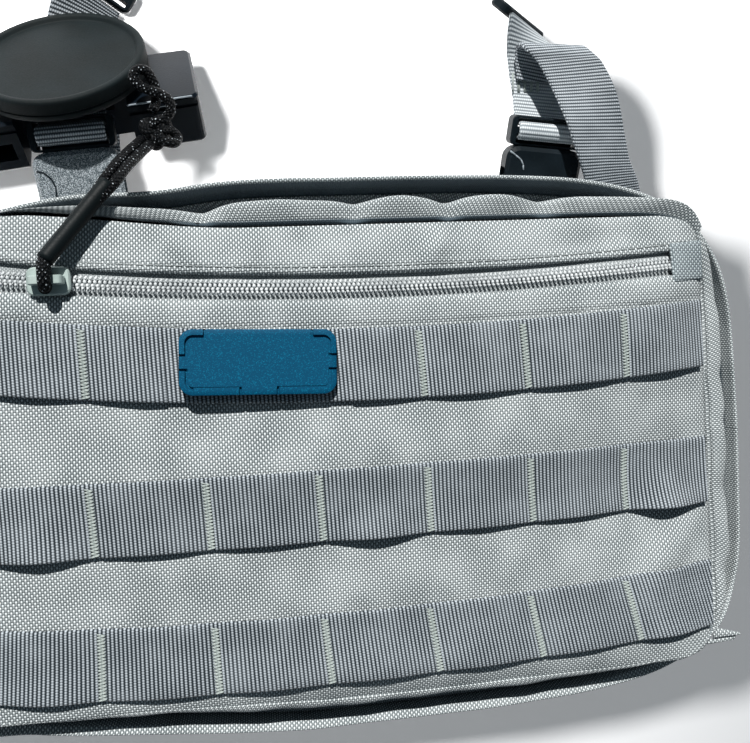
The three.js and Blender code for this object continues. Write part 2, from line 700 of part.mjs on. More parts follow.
function buckleBody() {
  const shell = roundedPlate(BUCKLE_WIDTH, BUCKLE_LENGTH, BUCKLE_THICK, 5, 1.6);
  const { radius, stretch, past, back } = PRONG_WINDOW;
  const windows = [-1, 1].map((side) => {
    const round = weld(new THREE.CylinderGeometry(radius, radius, BUCKLE_THICK - 3, 14)).rotateX(Math.PI / 2);
    return round.scale(1, stretch, 1).translate(side * (BUCKLE_WIDTH / 2 + past), -back, 0);
  });
  const mouth = box(WEBBING_WIDTH + 1, 2 * BUCKLE_MOUTH.depth, BUCKLE_MOUTH.height, 0, -BUCKLE_LENGTH / 2, 0);
  return cut(shell, mouth, ...windows).translate(0, -BUCKLE_LENGTH / 2, 0);
}

// Ladder lock: two rails with two windows, so the strap goes over the bar between them.
function buckleLock() {
  const windowLength = 3.6;
  const frame = roundedPlate(LOCK_WIDTH, LOCK_LENGTH, LOCK_THICK, 2, 0.4);
  const windows = [-1, 1].map((side) => {
    const y = (side * (windowLength + LOCK_BAR)) / 2;
    return box(WEBBING_WIDTH + 1, windowLength, 2 * LOCK_THICK, 0, y, 0);
  });
  return cut(frame, ...windows).translate(0, LOCK_LENGTH / 2 + GAP, 0);
}

function strapSlider() {
  const frame = roundedPlate(SLIDER_LENGTH, SLIDER_HEIGHT, SLIDER_THICK, 3, 0.8);
  const slots = [-1, 1].map((side) => (
    box(WEBBING_WIDTH + 1, SLIDER_SLOT, 2 * SLIDER_THICK, 0, side * SLIDER_SLOT, 0)
  ));
  return cut(frame, ...slots);
}

// Where each strap set sits: middle of the buckle's joint line, its turn, and how steeply it rises.
const STRAP_SETS = [
  { side: 'right', x: 92.6, y: 119.6, z: 30.5, turn: -6, rise: 20 },
  { side: 'left', x: -92.4, y: 121.6, z: 29.4, turn: 5, rise: 14 },
];

// Strap routes from the lock to the slider: centre line, and the direction of the strap's width
const STRAP_ROUTES = {
  right: [
    { x: 93.8, y: 139, z: 28.6, across: [0.99, -0.1, 0] },
    { x: 92.6, y: 148, z: 29.2, across: [0.99, -0.08, 0] },
    { x: 91, y: 156, z: 30.6, across: [0.98, -0.08, -0.1] },
    { x: 89.2, y: 162, z: 32.2, across: [0.9, -0.1, -0.35] },
  ],
  left: [
    { x: -93.5, y: 138.6, z: 27.8, across: [0.99, 0.12, 0] },
    { x: -94.8, y: 147.5, z: 20, across: [0.99, 0.14, 0] },
    { x: -96.1, y: 157.5, z: 11.2, across: [0.99, 0.12, 0] },
    { x: -95.4, y: 167, z: 4.8, across: [0.99, -0.02, 0] },
    { x: -93.4, y: 175.8, z: 4.8, across: [0.97, -0.22, -0.04] },
    { x: -90, y: 183.4, z: 7.8, across: [0.87, -0.4, -0.22] },
  ],
};
// Free ends: the right one stands up in an arch, the left one lies flat under the pack.
const TAIL_ROUTES = {
  right: [
    { x: 95, y: 146, z: 31.3, across: [0.99, -0.08, 0] },
    { x: 94.2, y: 151.6, z: 33.2, across: [0.99, -0.08, 0.02] },
    { x: 93.4, y: 156.4, z: 36, across: [0.99, -0.1, 0.06] },
    { x: 93.2, y: 159.4, z: 38.8, across: [0.98, -0.1, 0.12] },
    { x: 93.8, y: 158.4, z: 42.6, across: [0.97, -0.12, 0.2] },
    { x: 95.2, y: 155.4, z: 44.9, across: [0.96, -0.12, 0.26] },
    { x: 97.8, y: 151.6, z: 45.6, across: [0.95, -0.12, 0.31] },
    { x: 104.7, y: 139.7, z: 46, across: [0.94, -0.12, 0.34] },
    { x: 110.9, y: 125.5, z: 45, across: [0.93, -0.08, 0.3] },
    { x: 116, y: 113.5, z: 40, across: [0.93, 0, 0.26] },
    { x: 120.2, y: 105.3, z: 35, across: [0.95, 0.1, 0.15] },
    { x: 122.4, y: 100.8, z: 29, across: [0.95, 0.2, 0.05] },
  ],
  left: [
    { x: -94, y: 178, z: 1.4, across: [0.97, 0.24, 0] },
    { x: -93.4, y: 160, z: 1.3, across: [1, 0.1, 0] },
    { x: -93, y: 140, z: 1.3, across: [1, 0.04, 0] },
    { x: -92.6, y: 115, z: 1.3, across: [1, 0, 0] },
    { x: -92.4, y: 90, z: 1.6, across: [1, 0, 0] },
    { x: -92.4, y: 73, z: 3.6, across: [1, 0, 0] },
  ],
};
// Sliders: middle, direction of their length, and the way that the strap goes on
const SLIDER_PLACES = {
  right: { x: 84.6, y: 172.3, z: 30, along: [0.742, -0.13, -0.656], way: [-0.386, 0.716, -0.579] },
  left: { x: -83.4, y: 193.6, z: 11.5, along: [0.8, -0.5, -0.33], way: [0.53, 0.848, 0] },
};

// Last station of a strap, at the near edge of its slider.
function sliderMouth({ x, y, z, along, way }) {
  const reach = -(SLIDER_HEIGHT / 2 + 3 * GAP);
  return { ...at(x, y, z).addScaledVector(at(...way).normalize(), reach), across: along };
}

for (const set of STRAP_SETS) {
  const buckle = new THREE.Group();
  buckle.position.set(set.x, set.y, set.z);
  const turn = THREE.MathUtils.degToRad(set.turn);
  buckle.rotation.set(THREE.MathUtils.degToRad(set.rise), 0, turn, 'ZYX');
  pack.add(buckle);
  buckle.updateMatrixWorld();
  const inPack = (x, y, z) => at(x, y, z).applyMatrix4(buckle.matrix);
  const across = at(1, 0, 0).applyQuaternion(buckle.quaternion).toArray();
  const station = (y, z) => ({ ...inPack(0, y, z), across });
  addPiece(`buckle_body_${set.side}`, buckleBody(), blackPlastic, buckle);
  addPiece(`buckle_lock_${set.side}`, buckleLock(), blackPlastic, buckle);

  // The strap comes up through the lock, goes over its middle bar and down again.
  const bar = LOCK_LENGTH / 2 + GAP;
  const overBar = LOCK_THICK / 2 + 2 * GAP + WEBBING_THICK / 2;
  const wrap = [
    station(bar - 3, -overBar),
    station(bar - 2.8, 0),
    station(bar - 2.2, overBar - 0.8),
    station(bar, overBar + 0.2),
    station(bar + 2.2, overBar - 0.8),
    station(bar + 2.8, 0),
    station(bar + 4.6, -overBar - 0.2),
  ];
  const slider = SLIDER_PLACES[set.side];
  const route = [...wrap, ...STRAP_ROUTES[set.side], sliderMouth(slider)];
  addPiece(`strap_${set.side}`, ribbon(route, WEBBING_WIDTH, WEBBING_THICK, 38), webbing);
  addPiece(`strap_tail_${set.side}`, ribbon(TAIL_ROUTES[set.side], WEBBING_WIDTH, WEBBING_THICK, 26), webbing);

  const along = at(...slider.along).normalize();
  const face = along.clone().cross(at(...slider.way)).normalize();
  const placed = new THREE.Matrix4().makeBasis(along, face.clone().cross(along), face);
  const sliderMesh = addPiece(`strap_slider_${set.side}`, strapSlider(), blackPlastic);
  sliderMesh.quaternion.setFromRotationMatrix(placed);
  sliderMesh.position.set(slider.x, slider.y, slider.z);

  // The tab runs from the buckle's mouth to the back panel's lower wall.
  const tabRoute = [
    station(-BUCKLE_LENGTH + 5, 0),
    station(-BUCKLE_LENGTH - 3, 0),
    { x: set.x, y: 87.4, z: 18.2, across: [1, 0, 0] },
    { x: set.x, y: 81.4, z: 10.4, across: [1, 0, 0] },
  ];
  addPiece(`buckle_tab_${set.side}`, ribbon(tabRoute, WEBBING_WIDTH, WEBBING_THICK, 10), webbing);
}

export default pack;
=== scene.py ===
# Chest pack lying on its back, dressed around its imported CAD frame.
# Lengths are millimetres until a mesh is made. +X is right, +Y the top edge, +Z out of the front.
import math

import bpy
import numpy as np
from mathutils import Matrix, Vector


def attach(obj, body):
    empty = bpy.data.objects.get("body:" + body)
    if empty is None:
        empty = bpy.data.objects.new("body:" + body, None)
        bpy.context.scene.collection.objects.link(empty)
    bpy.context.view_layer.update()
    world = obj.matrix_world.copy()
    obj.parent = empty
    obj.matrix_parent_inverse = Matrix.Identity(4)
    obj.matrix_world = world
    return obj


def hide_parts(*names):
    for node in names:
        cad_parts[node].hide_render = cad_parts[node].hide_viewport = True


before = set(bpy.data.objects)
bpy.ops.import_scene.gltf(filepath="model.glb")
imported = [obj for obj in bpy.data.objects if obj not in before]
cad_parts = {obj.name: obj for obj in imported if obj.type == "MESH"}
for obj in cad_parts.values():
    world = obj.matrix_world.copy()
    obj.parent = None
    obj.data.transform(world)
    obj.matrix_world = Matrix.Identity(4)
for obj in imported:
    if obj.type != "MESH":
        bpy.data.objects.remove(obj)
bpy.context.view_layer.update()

MM = 0.001
UP = np.array([0.0, 0.0, 1.0])
UV_NAME = "cloth"  # corner coordinates in millimetres, for weaves and ribs

# Sizes shared with the CAD part
CLOTH, GAP = 2.0, 0.3
RIM_HALF_WIDTH, RIM_HALF_HEIGHT, RIM_POWER, RIM_HEIGHT = 167.0, 106.0, 4.4, 45.4
FRONT_HALF_WIDTH, FRONT_HALF_HEIGHT, FRONT_POWER, FRONT_REACH = 141.0, 86.5, 14.0, 0.985
FRONT_EDGE_HEIGHT, FRONT_CROWN = 63.0, 7.5
ZIP_LOW_Y, ZIP_LOW_X, ZIP_BOW, ZIP_HALF_OPENING, ZIP_HALF_LENGTH = 62.5, 25.0, 0.0004, 4.4, 131.0
ZIP_SLIDER_X = -96.0
WEBBING_WIDTH, WEBBING_THICK, TACK_SPACING, TACK_SHIFT = 25.4, 1.8, 38.1, -10.0
ROW_HALF_LENGTH, ROW_GAP, LOOP_LIFT, ROW_PITCH, ROW_TOP_Y = 138.5, 0.7, 1.0, 50.8, 38.3
CORD_DIAMETER, SHEATH_DIAMETER, KNOT_RADIUS = 3.6, 5.8, 5.2
BADGE = dict(x=-28.5, y=37.9, z=74.2, width=52.4, height=22.0, thick=3.8, corner=4.5, turn=-2.6)

SIDES = ((1, "right"), (-1, "left"))
TACKS = TACK_SHIFT + TACK_SPACING * np.arange(-3, 4)
RIB, STRAP_RIB = TACK_SPACING / 27.5, 1.35  # one rib of the loop webbing and of the straps
# Rows of loop webbing from the top: sag and its place, rise within the span beside it, lean of the ribs, and
# how much more they lean for each 100 mm to the right
ROWS = [
    dict(name="molle_row_1", sag=3.4, sag_x=30, rise=5.8, span=116, lean=0.04, lean_right=0.01),
    dict(name="molle_row_2", sag=0.5, sag_x=20, rise=0.8, span=110, lean=0.03, lean_right=0.0),
    dict(name="molle_row_3", sag=0.5, sag_x=10, rise=2.4, span=96, lean=0.09, lean_right=0.15),
]
for number, row in enumerate(ROWS):
    row["y"] = ROW_TOP_Y - number * ROW_PITCH
# Loops whose lower edge hangs away from the panel: row, loop counted from the left, lift
LOOSE_LOOPS = [(1, 4, 2.2), (1, 7, 4.5), (1, 1, 2.4), (2, 1, 1.2), (2, 7, 1.6)]
# Folds and dents of the front: middle x and y, half length, half width, direction in degrees, rise
FOLDS = [
    (126, -39, 22, 7, 52, 3.4),
    (121, -16, 40, 24, 4, -6.0),
    (-10, -46, 110, 9, 3, 0.6),
    (0, 2, 100, 12, 1, 2.8),
    (118, 52, 40, 24, 0, 4.0),
    (0, -82, 130, 17, 0, 5.0),
    (38, 78, 10, 4, 62, 3.0),
    (-55, 81, 9, 3.5, -53, 2.8),
    (-28, 78, 7, 3, 75, 1.8),
    (10, 75, 90, 6, 0, 1.8),
    (100, 77, 26, 5, 12, -1.6),
]

# How far the rim is drawn in at the right, the bottom, the lower left and the upper left
RIM_IN_RIGHT, RIM_IN_BOTTOM, RIM_IN_LOWER_LEFT, RIM_IN_UPPER_LEFT = 1.6, 5.3, 6.6, 4.0
RIM_SAG, RIM_SAG_X, RIM_SAG_WIDE = 3.4, -66.0, 23.0  # dip of its upper edge: depth, place, half width
LIP_RISE_TOP, LIP_RISE_BOTTOM, LIP_RISE_LOWER_LEFT = 2.0, 7.0, 2.6  # how far the lip is bent up
FRONT_TUCK = 4.5  # how far the front's lower edge is tucked up at the left
FRONT_LIFT = 6.6  # how far the front's upper edge is drawn up at the left
# Where these come in: ranges of y at the bottom and the top, and of x at the left and the right
RIM_BOTTOM, RIM_TOP, RIM_RIGHT = (-55, -95), (55, 95), (90, 160)
RIM_LOWER_LEFT, RIM_UPPER_LEFT, RIM_CORNER = (-5, -95), (-60, -125), (-112, -150)
LIP_BOTTOM, LIP_TOP, LIP_LEFT = (-60, -92), (70, 100), (0, -90)
TUCK_BOTTOM, TUCK_LEFT, LIFT_TOP, LIFT_LEFT = (-68, -86), (15, -85), (70, 86), (-30, -115)


# Numbers and curves


def unit(vectors):
    return vectors / np.maximum(np.linalg.norm(vectors, axis=-1, keepdims=True), 1e-9)


def vec(*parts):
    """Coordinates, given one by one, as one array of points."""
    return np.stack(np.broadcast_arrays(*parts), -1)


def grid(first, second):
    return np.meshgrid(first, second, indexing="ij")


def looped(rows):
    """Rows that end with the first one again."""
    return np.concatenate([rows, rows[:1]])


def turned(*turns):
    """The rotation by turns about named axes, in degrees; the last turn comes first."""
    matrix = Matrix.Identity(3)
    for axis, degrees in turns:
        matrix = matrix @ Matrix.Rotation(math.radians(degrees), 3, axis)
    return np.array(matrix)


def spokes(side, top, count):
    """Directions round each point of a line, from its side towards its top."""
    angle = (2 * math.pi * np.arange(count) / count)[None, :, None]
    return np.cos(angle) * side[:, None] + np.sin(angle) * top[:, None]


def bell(value, middle, wide):
    return np.exp(-(((value - middle) / wide) ** 2))


def smooth_step(low, high, value):
    t = np.clip((value - low) / (high - low), 0, 1)
    return t * t * (3 - 2 * t)


def turn_down(distance, depth, length):
    """Height of a surface whose edge turns down by depth, over about that length."""
    return -depth * np.exp(-distance / length)


def ripple(x, y, size, height):
    """A soft uneven surface: a few crossing waves."""
    waves = ((1.0, 0.3, 0.0), (-0.4, 1.0, 1.3), (0.7, -0.8, 2.1), (1.7, 1.1, 4.0))
    total = sum(np.sin((a * x + b * y) * 2 * math.pi / size + phase) for a, b, phase in waves)
    return height * total / len(waves)


def way_along(points, axis=0):
    """Distance of each point from the first, along lines of points."""
    steps = np.linalg.norm(np.diff(points, axis=axis), axis=-1)
    start = np.zeros_like(np.take(steps, [0], axis))
    return np.concatenate([start, np.cumsum(steps, axis)], axis)


def sampled(places, known, rows):
    """Rows between known places, column by column."""
    return np.column_stack([np.interp(places, known, column) for column in rows.T])


def curve_through(points, per_span=24):
    """A centripetal Catmull-Rom curve through points, and each sample's place among them."""
    rows = np.asarray(points, float)
    ends = np.vstack([2 * rows[0] - rows[1], rows, 2 * rows[-1] - rows[-2]])
    t = np.linspace(0, 1, per_span, endpoint=False)[:, None]
    found, place = [], []
    for k in range(len(rows) - 1):
        p0, p1, p2, p3 = ends[k:k + 4]
        d0, d1, d2 = (max(np.linalg.norm(b - a) ** 0.5, 1e-4) for a, b in ((p0, p1), (p1, p2), (p2, p3)))
        m1 = d1 * ((p1 - p0) / d0 - (p2 - p0) / (d0 + d1) + (p2 - p1) / d1)
        m2 = d1 * ((p2 - p1) / d1 - (p3 - p1) / (d1 + d2) + (p3 - p2) / d2)
        found.append(p1 + m1 * t + (3 * (p2 - p1) - 2 * m1 - m2) * t**2 + (2 * (p1 - p2) + m1 + m2) * t**3)
        place.append(k + t[:, 0])
    return np.vstack([*found, rows[-1:]]), np.concatenate([*place, [len(rows) - 1.0]])


def even_steps(points, place, step):
    """The same curve at even steps, with each step's place and distance."""
    length = way_along(points)
    distance = np.linspace(0, length[-1], max(3, int(round(length[-1] / step)) + 1))
    return sampled(distance, length, points), np.interp(distance, length, place), distance


def smooth_rows(table, count):
    """A short table of rows as a smooth curve of count rows."""
    rows, place = curve_through(table)
    return sampled(np.linspace(0, place[-1], count), place, rows)


# Mesh building

CAPSULE_SIDES = 6
# Rings of a round-ended bar: at which end, shift along it and size, both in radii
CAPSULE_RINGS = ((0, 0.0, 0.45), (0, 0.5, 1.0), (1, -0.5, 1.0), (1, 0.0, 0.45))


def quads(index):
    """The quads of a grid of vertex numbers."""
    corners = [index[:-1, :-1], index[1:, :-1], index[1:, 1:], index[:-1, 1:]]
    return np.stack(corners, -1).reshape(-1, 4)


def add_object(name, data):
    added = bpy.data.objects.new(name, data)
    bpy.context.scene.collection.objects.link(added)
    return added


class Shape:
    """Closed bodies of one piece: points in millimetres, faces and corner coordinates."""

    def __init__(self):
        self.points, self.faces, self.uv, self.count = [], [], [], 0

    def add(self, points, groups):
        """Adds one closed body. Each group is an array of faces and one of its corner coordinates."""
        points = points.reshape(-1, 3)
        volume = 0.0
        for faces, _ in groups:
            a = points[faces[:, 0]]
            for k in range(1, faces.shape[1] - 1):
                volume += np.einsum("ij,ij->", a, np.cross(points[faces[:, k]], points[faces[:, k + 1]]))
        for faces, uv in groups:
            if volume < 0:
                faces, uv = faces[:, ::-1], uv[:, ::-1]
            self.faces += (faces + self.count).tolist()
            self.uv.append(uv.reshape(-1, 2))
        self.points.append(points)
        self.count += len(points)
        return self

    def slab(self, top, bottom, uv=None):
        """A sheet between two grids of points, with x and y as its corner coordinates if none are given."""
        uv = top[..., :2] if uv is None else uv
        rows, columns = top.shape[:2]
        index = np.arange(rows * columns).reshape(rows, columns)
        edge = np.concatenate([index[0, :-1], index[:-1, -1], index[-1, :0:-1], index[:0:-1, 0]])
        after = np.roll(edge, -1)
        rim = np.stack([edge, after, after + index.size, edge + index.size], -1)
        faces = np.concatenate([quads(index), quads(index + index.size)[:, ::-1], rim])
        flat = np.concatenate([uv.reshape(-1, 2)] * 2)
        return self.add(np.concatenate([top.reshape(-1, 3), bottom.reshape(-1, 3)]), [(faces, flat[faces])])

    def tube(self, rings, uv, closed=False):
        """A body through closed rings. uv has one more column than the rings, and one more row if closed."""
        rows, columns = rings.shape[:2]
        index = np.arange(rows * columns).reshape(rows, columns)
        wrap = np.concatenate([index, index[:, :1]], 1)
        if closed:
            wrap = looped(wrap)
        corner = np.arange(wrap.size).reshape(wrap.shape)
        flat = uv.reshape(-1, 2)
        groups = [(quads(wrap), flat[quads(corner)])]
        if not closed:
            for ring, places in ((index[0], corner[0, :-1]), (index[-1][::-1], corner[-1, :-1][::-1])):
                groups.append((ring[None], flat[places][None]))
        return self.add(rings, groups)

    def capsules(self, starts, ends, radius, flat=1.0, up=UP):
        """Many short round-ended bars at once, such as stitches and zipper teeth."""
        way = unit(ends - starts)
        side = unit(np.cross(way, up))
        around = spokes(side, flat * np.cross(side, way), CAPSULE_SIDES)
        middles = [(starts, ends)[end] + way * shift * radius for end, shift, _ in CAPSULE_RINGS]
        rings = [middle[:, None] + around * radius * ring[2] for middle, ring in zip(middles, CAPSULE_RINGS)]
        uv = vec(*grid(np.arange(float(len(rings))), np.arange(CAPSULE_SIDES + 1.0)))
        for bar in np.stack(rings, 1):
            self.tube(bar, uv)
        return self

    def piece(self, name, material, slot, *replaced, sharp=None):
        """The shape as an object on the pack's one body, in place of the CAD nodes that it replaces."""
        mesh = bpy.data.meshes.new(name)
        mesh.from_pydata((np.concatenate(self.points) * MM).tolist(), [], self.faces)
        mesh.uv_layers.new(name=UV_NAME).data.foreach_set("uv", np.concatenate(self.uv).ravel())
        mesh.materials.append(material)
        mesh.shade_smooth()
        if sharp:
            mesh.set_sharp_from_angle(angle=math.radians(sharp))
        piece = add_object(name, mesh)
        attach(piece, "root")
        if replaced:
            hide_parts(*replaced)
        return piece


# Places on the pack


def front_height(x, y):
    u = np.minimum(1, np.abs(x) / FRONT_HALF_WIDTH)
    v = np.minimum(1, np.abs(y) / FRONT_HALF_HEIGHT)
    height = FRONT_EDGE_HEIGHT + FRONT_CROWN * (1 - u**4) * (1 - v**3)
    fade = (1 - u**8) * (1 - v**10)
    for fold_x, fold_y, long, wide, turn, rise in FOLDS:
        c, s = math.cos(math.radians(turn)), math.sin(math.radians(turn))
        along = (x - fold_x) * c + (y - fold_y) * s
        across = (y - fold_y) * c - (x - fold_x) * s
        height = height + fade * rise * bell(along, 0, long) * bell(across, 0, wide)
    return height


def front_point(x, y, rise):
    return vec(x, y, front_height(x, y) + rise)


def front_reach(y):
    """Half width of the front at y."""
    v = np.minimum(FRONT_REACH, np.abs(y) / FRONT_HALF_HEIGHT)
    return FRONT_HALF_WIDTH * (1 - v**FRONT_POWER) ** (1 / FRONT_POWER)


def zip_y(x):
    return ZIP_LOW_Y + ZIP_BOW * (x - ZIP_LOW_X) ** 2


def zip_point(x, offset, rise):
    """A place beside the zipper's middle line, at a height over the front."""
    return front_point(x, zip_y(x) + offset, rise)


def row_y(row, x):
    return row["y"] - row["sag"] + row["rise"] * ((x - row["sag_x"]) / row["span"]) ** 2


def perimeter(count):
    """Directions round the pack, evenly spaced along a rectangle of the rim's proportions."""
    w, h = RIM_HALF_WIDTH, RIM_HALF_HEIGHT
    corners = np.array([(1, 0), (1, 1), (-1, 1), (-1, -1), (1, -1), (1, 0)], float)
    length = np.concatenate([[0], np.cumsum([h, 2 * w, 2 * h, 2 * w, h])])
    return sampled(np.linspace(0, length[-1], count, endpoint=False), length, corners)


def pack_ring(directions, width, height, exponent):
    scale = (np.abs(directions) ** exponent).sum(1) ** (-1 / exponent)
    return directions * scale[:, None] * np.array([width, height])


def off_corner(x):
    """The rim keeps its place at the lower left corner."""
    return 1 - smooth_step(*RIM_CORNER, x)


def draw_in(plan):
    """The rim is drawn in along its lower and right edges and at the left corners."""
    x, y = plan[..., 0], plan[..., 1]
    up = smooth_step(*RIM_BOTTOM, y) * (RIM_IN_BOTTOM + RIM_IN_LOWER_LEFT * smooth_step(*RIM_LOWER_LEFT, x))
    sag = RIM_SAG * bell(x, RIM_SAG_X, RIM_SAG_WIDE)
    down = smooth_step(*RIM_TOP, y) * (RIM_IN_UPPER_LEFT * smooth_step(*RIM_UPPER_LEFT, x) + sag)
    return plan + vec(-RIM_IN_RIGHT * smooth_step(*RIM_RIGHT, x), up * off_corner(x) - down)


def tuck(x, y):
    """The front's lower edge is tucked up at the left."""
    return y + FRONT_TUCK * smooth_step(*TUCK_BOTTOM, y) * smooth_step(*TUCK_LEFT, x)


def lift(x, y):
    """The front's upper edge is drawn up at the left."""
    return y + FRONT_LIFT * smooth_step(*LIFT_TOP, y) * smooth_step(*LIFT_LEFT, x)


# Materials


class Finish:
    """A material and the few nodes that its surface needs."""

    def __init__(self, name, roughness, **settings):
        self.material = bpy.data.materials.new(name)
        self.material.use_nodes = True
        self.tree = self.material.node_tree
        self.shader = self.tree.nodes["Principled BSDF"]
        for socket, value in dict(Roughness=roughness, **settings).items():
            self.shader.inputs[socket.replace("_", " ")].default_value = value

    def node(self, kind, *inputs, **settings):
        """A node with its first inputs linked or set; None leaves an input as it is."""
        node = self.tree.nodes.new("ShaderNode" + kind)
        for name, value in settings.items():
            setattr(node, name, value)
        for socket, value in zip(node.inputs, inputs):
            if isinstance(value, bpy.types.NodeSocket):
                self.tree.links.new(value, socket)
            elif value is not None:
                socket.default_value = value
        return node

    def link(self, socket, name):
        self.tree.links.new(socket, self.shader.inputs[name])

    def math(self, operation, *inputs):
        return self.node("Math", *inputs, operation=operation).outputs[0]

    def plus(self, first, second):
        return self.math("ADD", first, second)

    def times(self, first, second):
        return self.math("MULTIPLY", first, second)

    def size(self, socket):
        return self.math("ABSOLUTE", socket)

    def wave(self, socket, length):
        """A sine wave that crosses zero every length millimetres."""
        return self.math("SINE", self.times(socket, math.pi / length))

    def share(self, socket, low, high, first=0.0, last=1.0):
        """A value from first to last as the socket goes from low to high."""
        return self.node("MapRange", socket, low, high, first, last).outputs[0]

    def coordinates(self):
        """The piece's own coordinates across and along its cloth, in millimetres."""
        split = self.node("SeparateXYZ", self.node("UVMap", uv_map=UV_NAME).outputs[0])
        return split.outputs[0], split.outputs[1]

    def place(self):
        return self.node("NewGeometry").outputs["Position"]

    def noise(self, scale, detail=2.0):
        """Noise of that many cycles a metre."""
        return self.node("TexNoise", self.place(), None, scale, detail).outputs["Fac"]

    def patchy(self, share, scale):
        """A share that is a little uneven from place to place."""
        return self.plus(share, self.share(self.noise(scale), *NOISE_RANGE, -PATCHINESS, PATCHINESS))

    def mix(self, share, first, second):
        """The colour between two; a Mix node's colours are its inputs 6 and 7."""
        return self.node("Mix", share, *[None] * 5, first, second, data_type="RGBA").outputs[2]

    def colour(self, share, first, second):
        self.link(self.mix(share, first, second), "Base Color")

    def bump(self, height, distance):
        node = self.node("Bump")
        node.inputs["Strength"].default_value = 1.0
        node.inputs["Distance"].default_value = distance * MM
        self.tree.links.new(height, node.inputs["Height"])
        self.link(node.outputs[0], "Normal")


def rgb(red, green, blue):
    """A shader colour from screen values of 0 to 255."""
    linear = [((c / 255 + 0.055) / 1.055) ** 2.4 if c > 10 else c / 255 / 12.92 for c in (red, green, blue)]
    return (*linear, 1.0)


# colour painted where shade falls in the seam and the lip's inner wall, and how far along it fades in
DEEP_SHADE, SHADE_FADE = rgb(66, 80, 89), 40.0
NOISE_RANGE, PATCHINESS = (0.3, 0.7), 0.08  # where most noise lies, and how far it moves a share
OVER_SHARE = 0.78  # how much of the light the lengthwise yarns catch
YARN_TURN = 0.9  # one yarn turn on a rib of webbing
BRAID_ALONG, BRAID_AROUND = 1.5, 1.9  # one crossing of a cord's strands


def woven(name, dark, light, warp, weft, depth, shaded=()):
    """Cloth whose lengthwise yarns catch the light more than the crosswise ones.

    shaded lists where no light gets in: a range of the second coordinate over which the cloth turns dark, and
    from where to where along the first.
    """
    finish = Finish(name, 0.7, Sheen_Weight=0.1, Sheen_Roughness=0.4, Specular_IOR_Level=0.3)
    u, v = finish.coordinates()
    a, b = finish.wave(u, warp), finish.wave(v, weft)
    both = finish.times(a, b)
    over = finish.times(finish.plus(finish.size(a), both), 0.5)
    under = finish.times(finish.math("SUBTRACT", finish.size(b), both), 0.5)
    lit = finish.plus(finish.times(over, OVER_SHARE), finish.times(under, 1 - OVER_SHARE))
    tone = finish.mix(finish.patchy(finish.share(lit, 0.08, 0.72), 60.0), dark, light)
    for low, high, first, last in shaded:
        shade = finish.share(v, low, high)
        for end, fade in ((first, SHADE_FADE), (last, -SHADE_FADE)):
            shade = finish.times(shade, finish.share(u, end, end + fade))
        tone = finish.mix(shade, tone, DEEP_SHADE)
    finish.link(tone, "Base Color")
    finish.bump(finish.math("MAXIMUM", over, under), depth)
    return finish.material


def ribbed(name, dark, light, rib, depth):
    """Webbing: ribs across the strap, each a row of small yarn turns; shade is painted into its grooves."""
    finish = Finish(name, 0.6, Sheen_Weight=0.1, Sheen_Roughness=0.4, Specular_IOR_Level=0.35)
    u, v = finish.coordinates()
    ridge = finish.size(finish.wave(u, rib))
    half_turn = finish.times(finish.math("FLOOR", finish.math("DIVIDE", u, rib)), math.pi / 2)
    turn = finish.plus(finish.times(v, math.pi / YARN_TURN), half_turn)
    dots = finish.size(finish.math("SINE", turn))
    height = finish.times(ridge, finish.plus(0.5, finish.times(dots, 0.5)))
    # colour painted darker down in the grooves and lighter on the rib tops, as shade and light fall
    finish.colour(finish.patchy(finish.share(height, 0.34, 0.9), 90.0), dark, light)
    finish.bump(height, depth)
    return finish.material


def moulded(name, colour, worn, roughness, grain, depth, gloss=0.5, metallic=0.0):
    """Moulded plastic, rubber or cast metal with a fine grain."""
    finish = Finish(name, roughness, Specular_IOR_Level=gloss, Metallic=metallic)
    fine = finish.noise(grain, 3.0)
    finish.colour(finish.share(finish.noise(70.0), 0.35, 0.7), colour, worn)
    finish.link(finish.share(fine, 0.0, 1.0, roughness - 0.12, roughness + 0.12), "Roughness")
    finish.bump(fine, depth)
    return finish.material


def braided(name, dark, light, glint):
    """Braided cord: two sets of strands that cross on the slant, painted darker between the strands, with a
    few painted glints.
    """
    finish = Finish(name, 0.5, Specular_IOR_Level=0.1)
    u, v = finish.coordinates()
    along, around = finish.times(u, math.pi / BRAID_ALONG), finish.times(v, math.pi / BRAID_AROUND)
    slants = [finish.math(sign, along, around) for sign in ("ADD", "SUBTRACT")]
    height = finish.times(*(finish.size(finish.math("SINE", slant)) for slant in slants))
    # painted glints where strand tops meet a noise; below, shade painted darker between the strands
    shine = finish.times(height, finish.noise(700.0))
    finish.colour(finish.share(shine, 0.5, 0.58), finish.mix(height, dark, light), glint)
    finish.bump(height, 0.35)
    return finish.material


def flakes_and_glints(name, colour, bright_fleck, share_bright, size, roughness, gloss=0.5):
    """Bright colour flecks: the badge paint's flakes, and painted sun glints on the left buckle; size: cells
    a metre.
    """
    finish = Finish(name, roughness, Specular_IOR_Level=gloss)
    cells = finish.node("TexVoronoi", finish.place(), None, size)
    bright = finish.node("SeparateColor", cells.outputs["Color"]).outputs[0]
    finish.colour(finish.share(bright, 1 - share_bright, 1.0), colour, bright_fleck)
    finish.bump(finish.noise(2600.0), 0.05)
    return finish.material


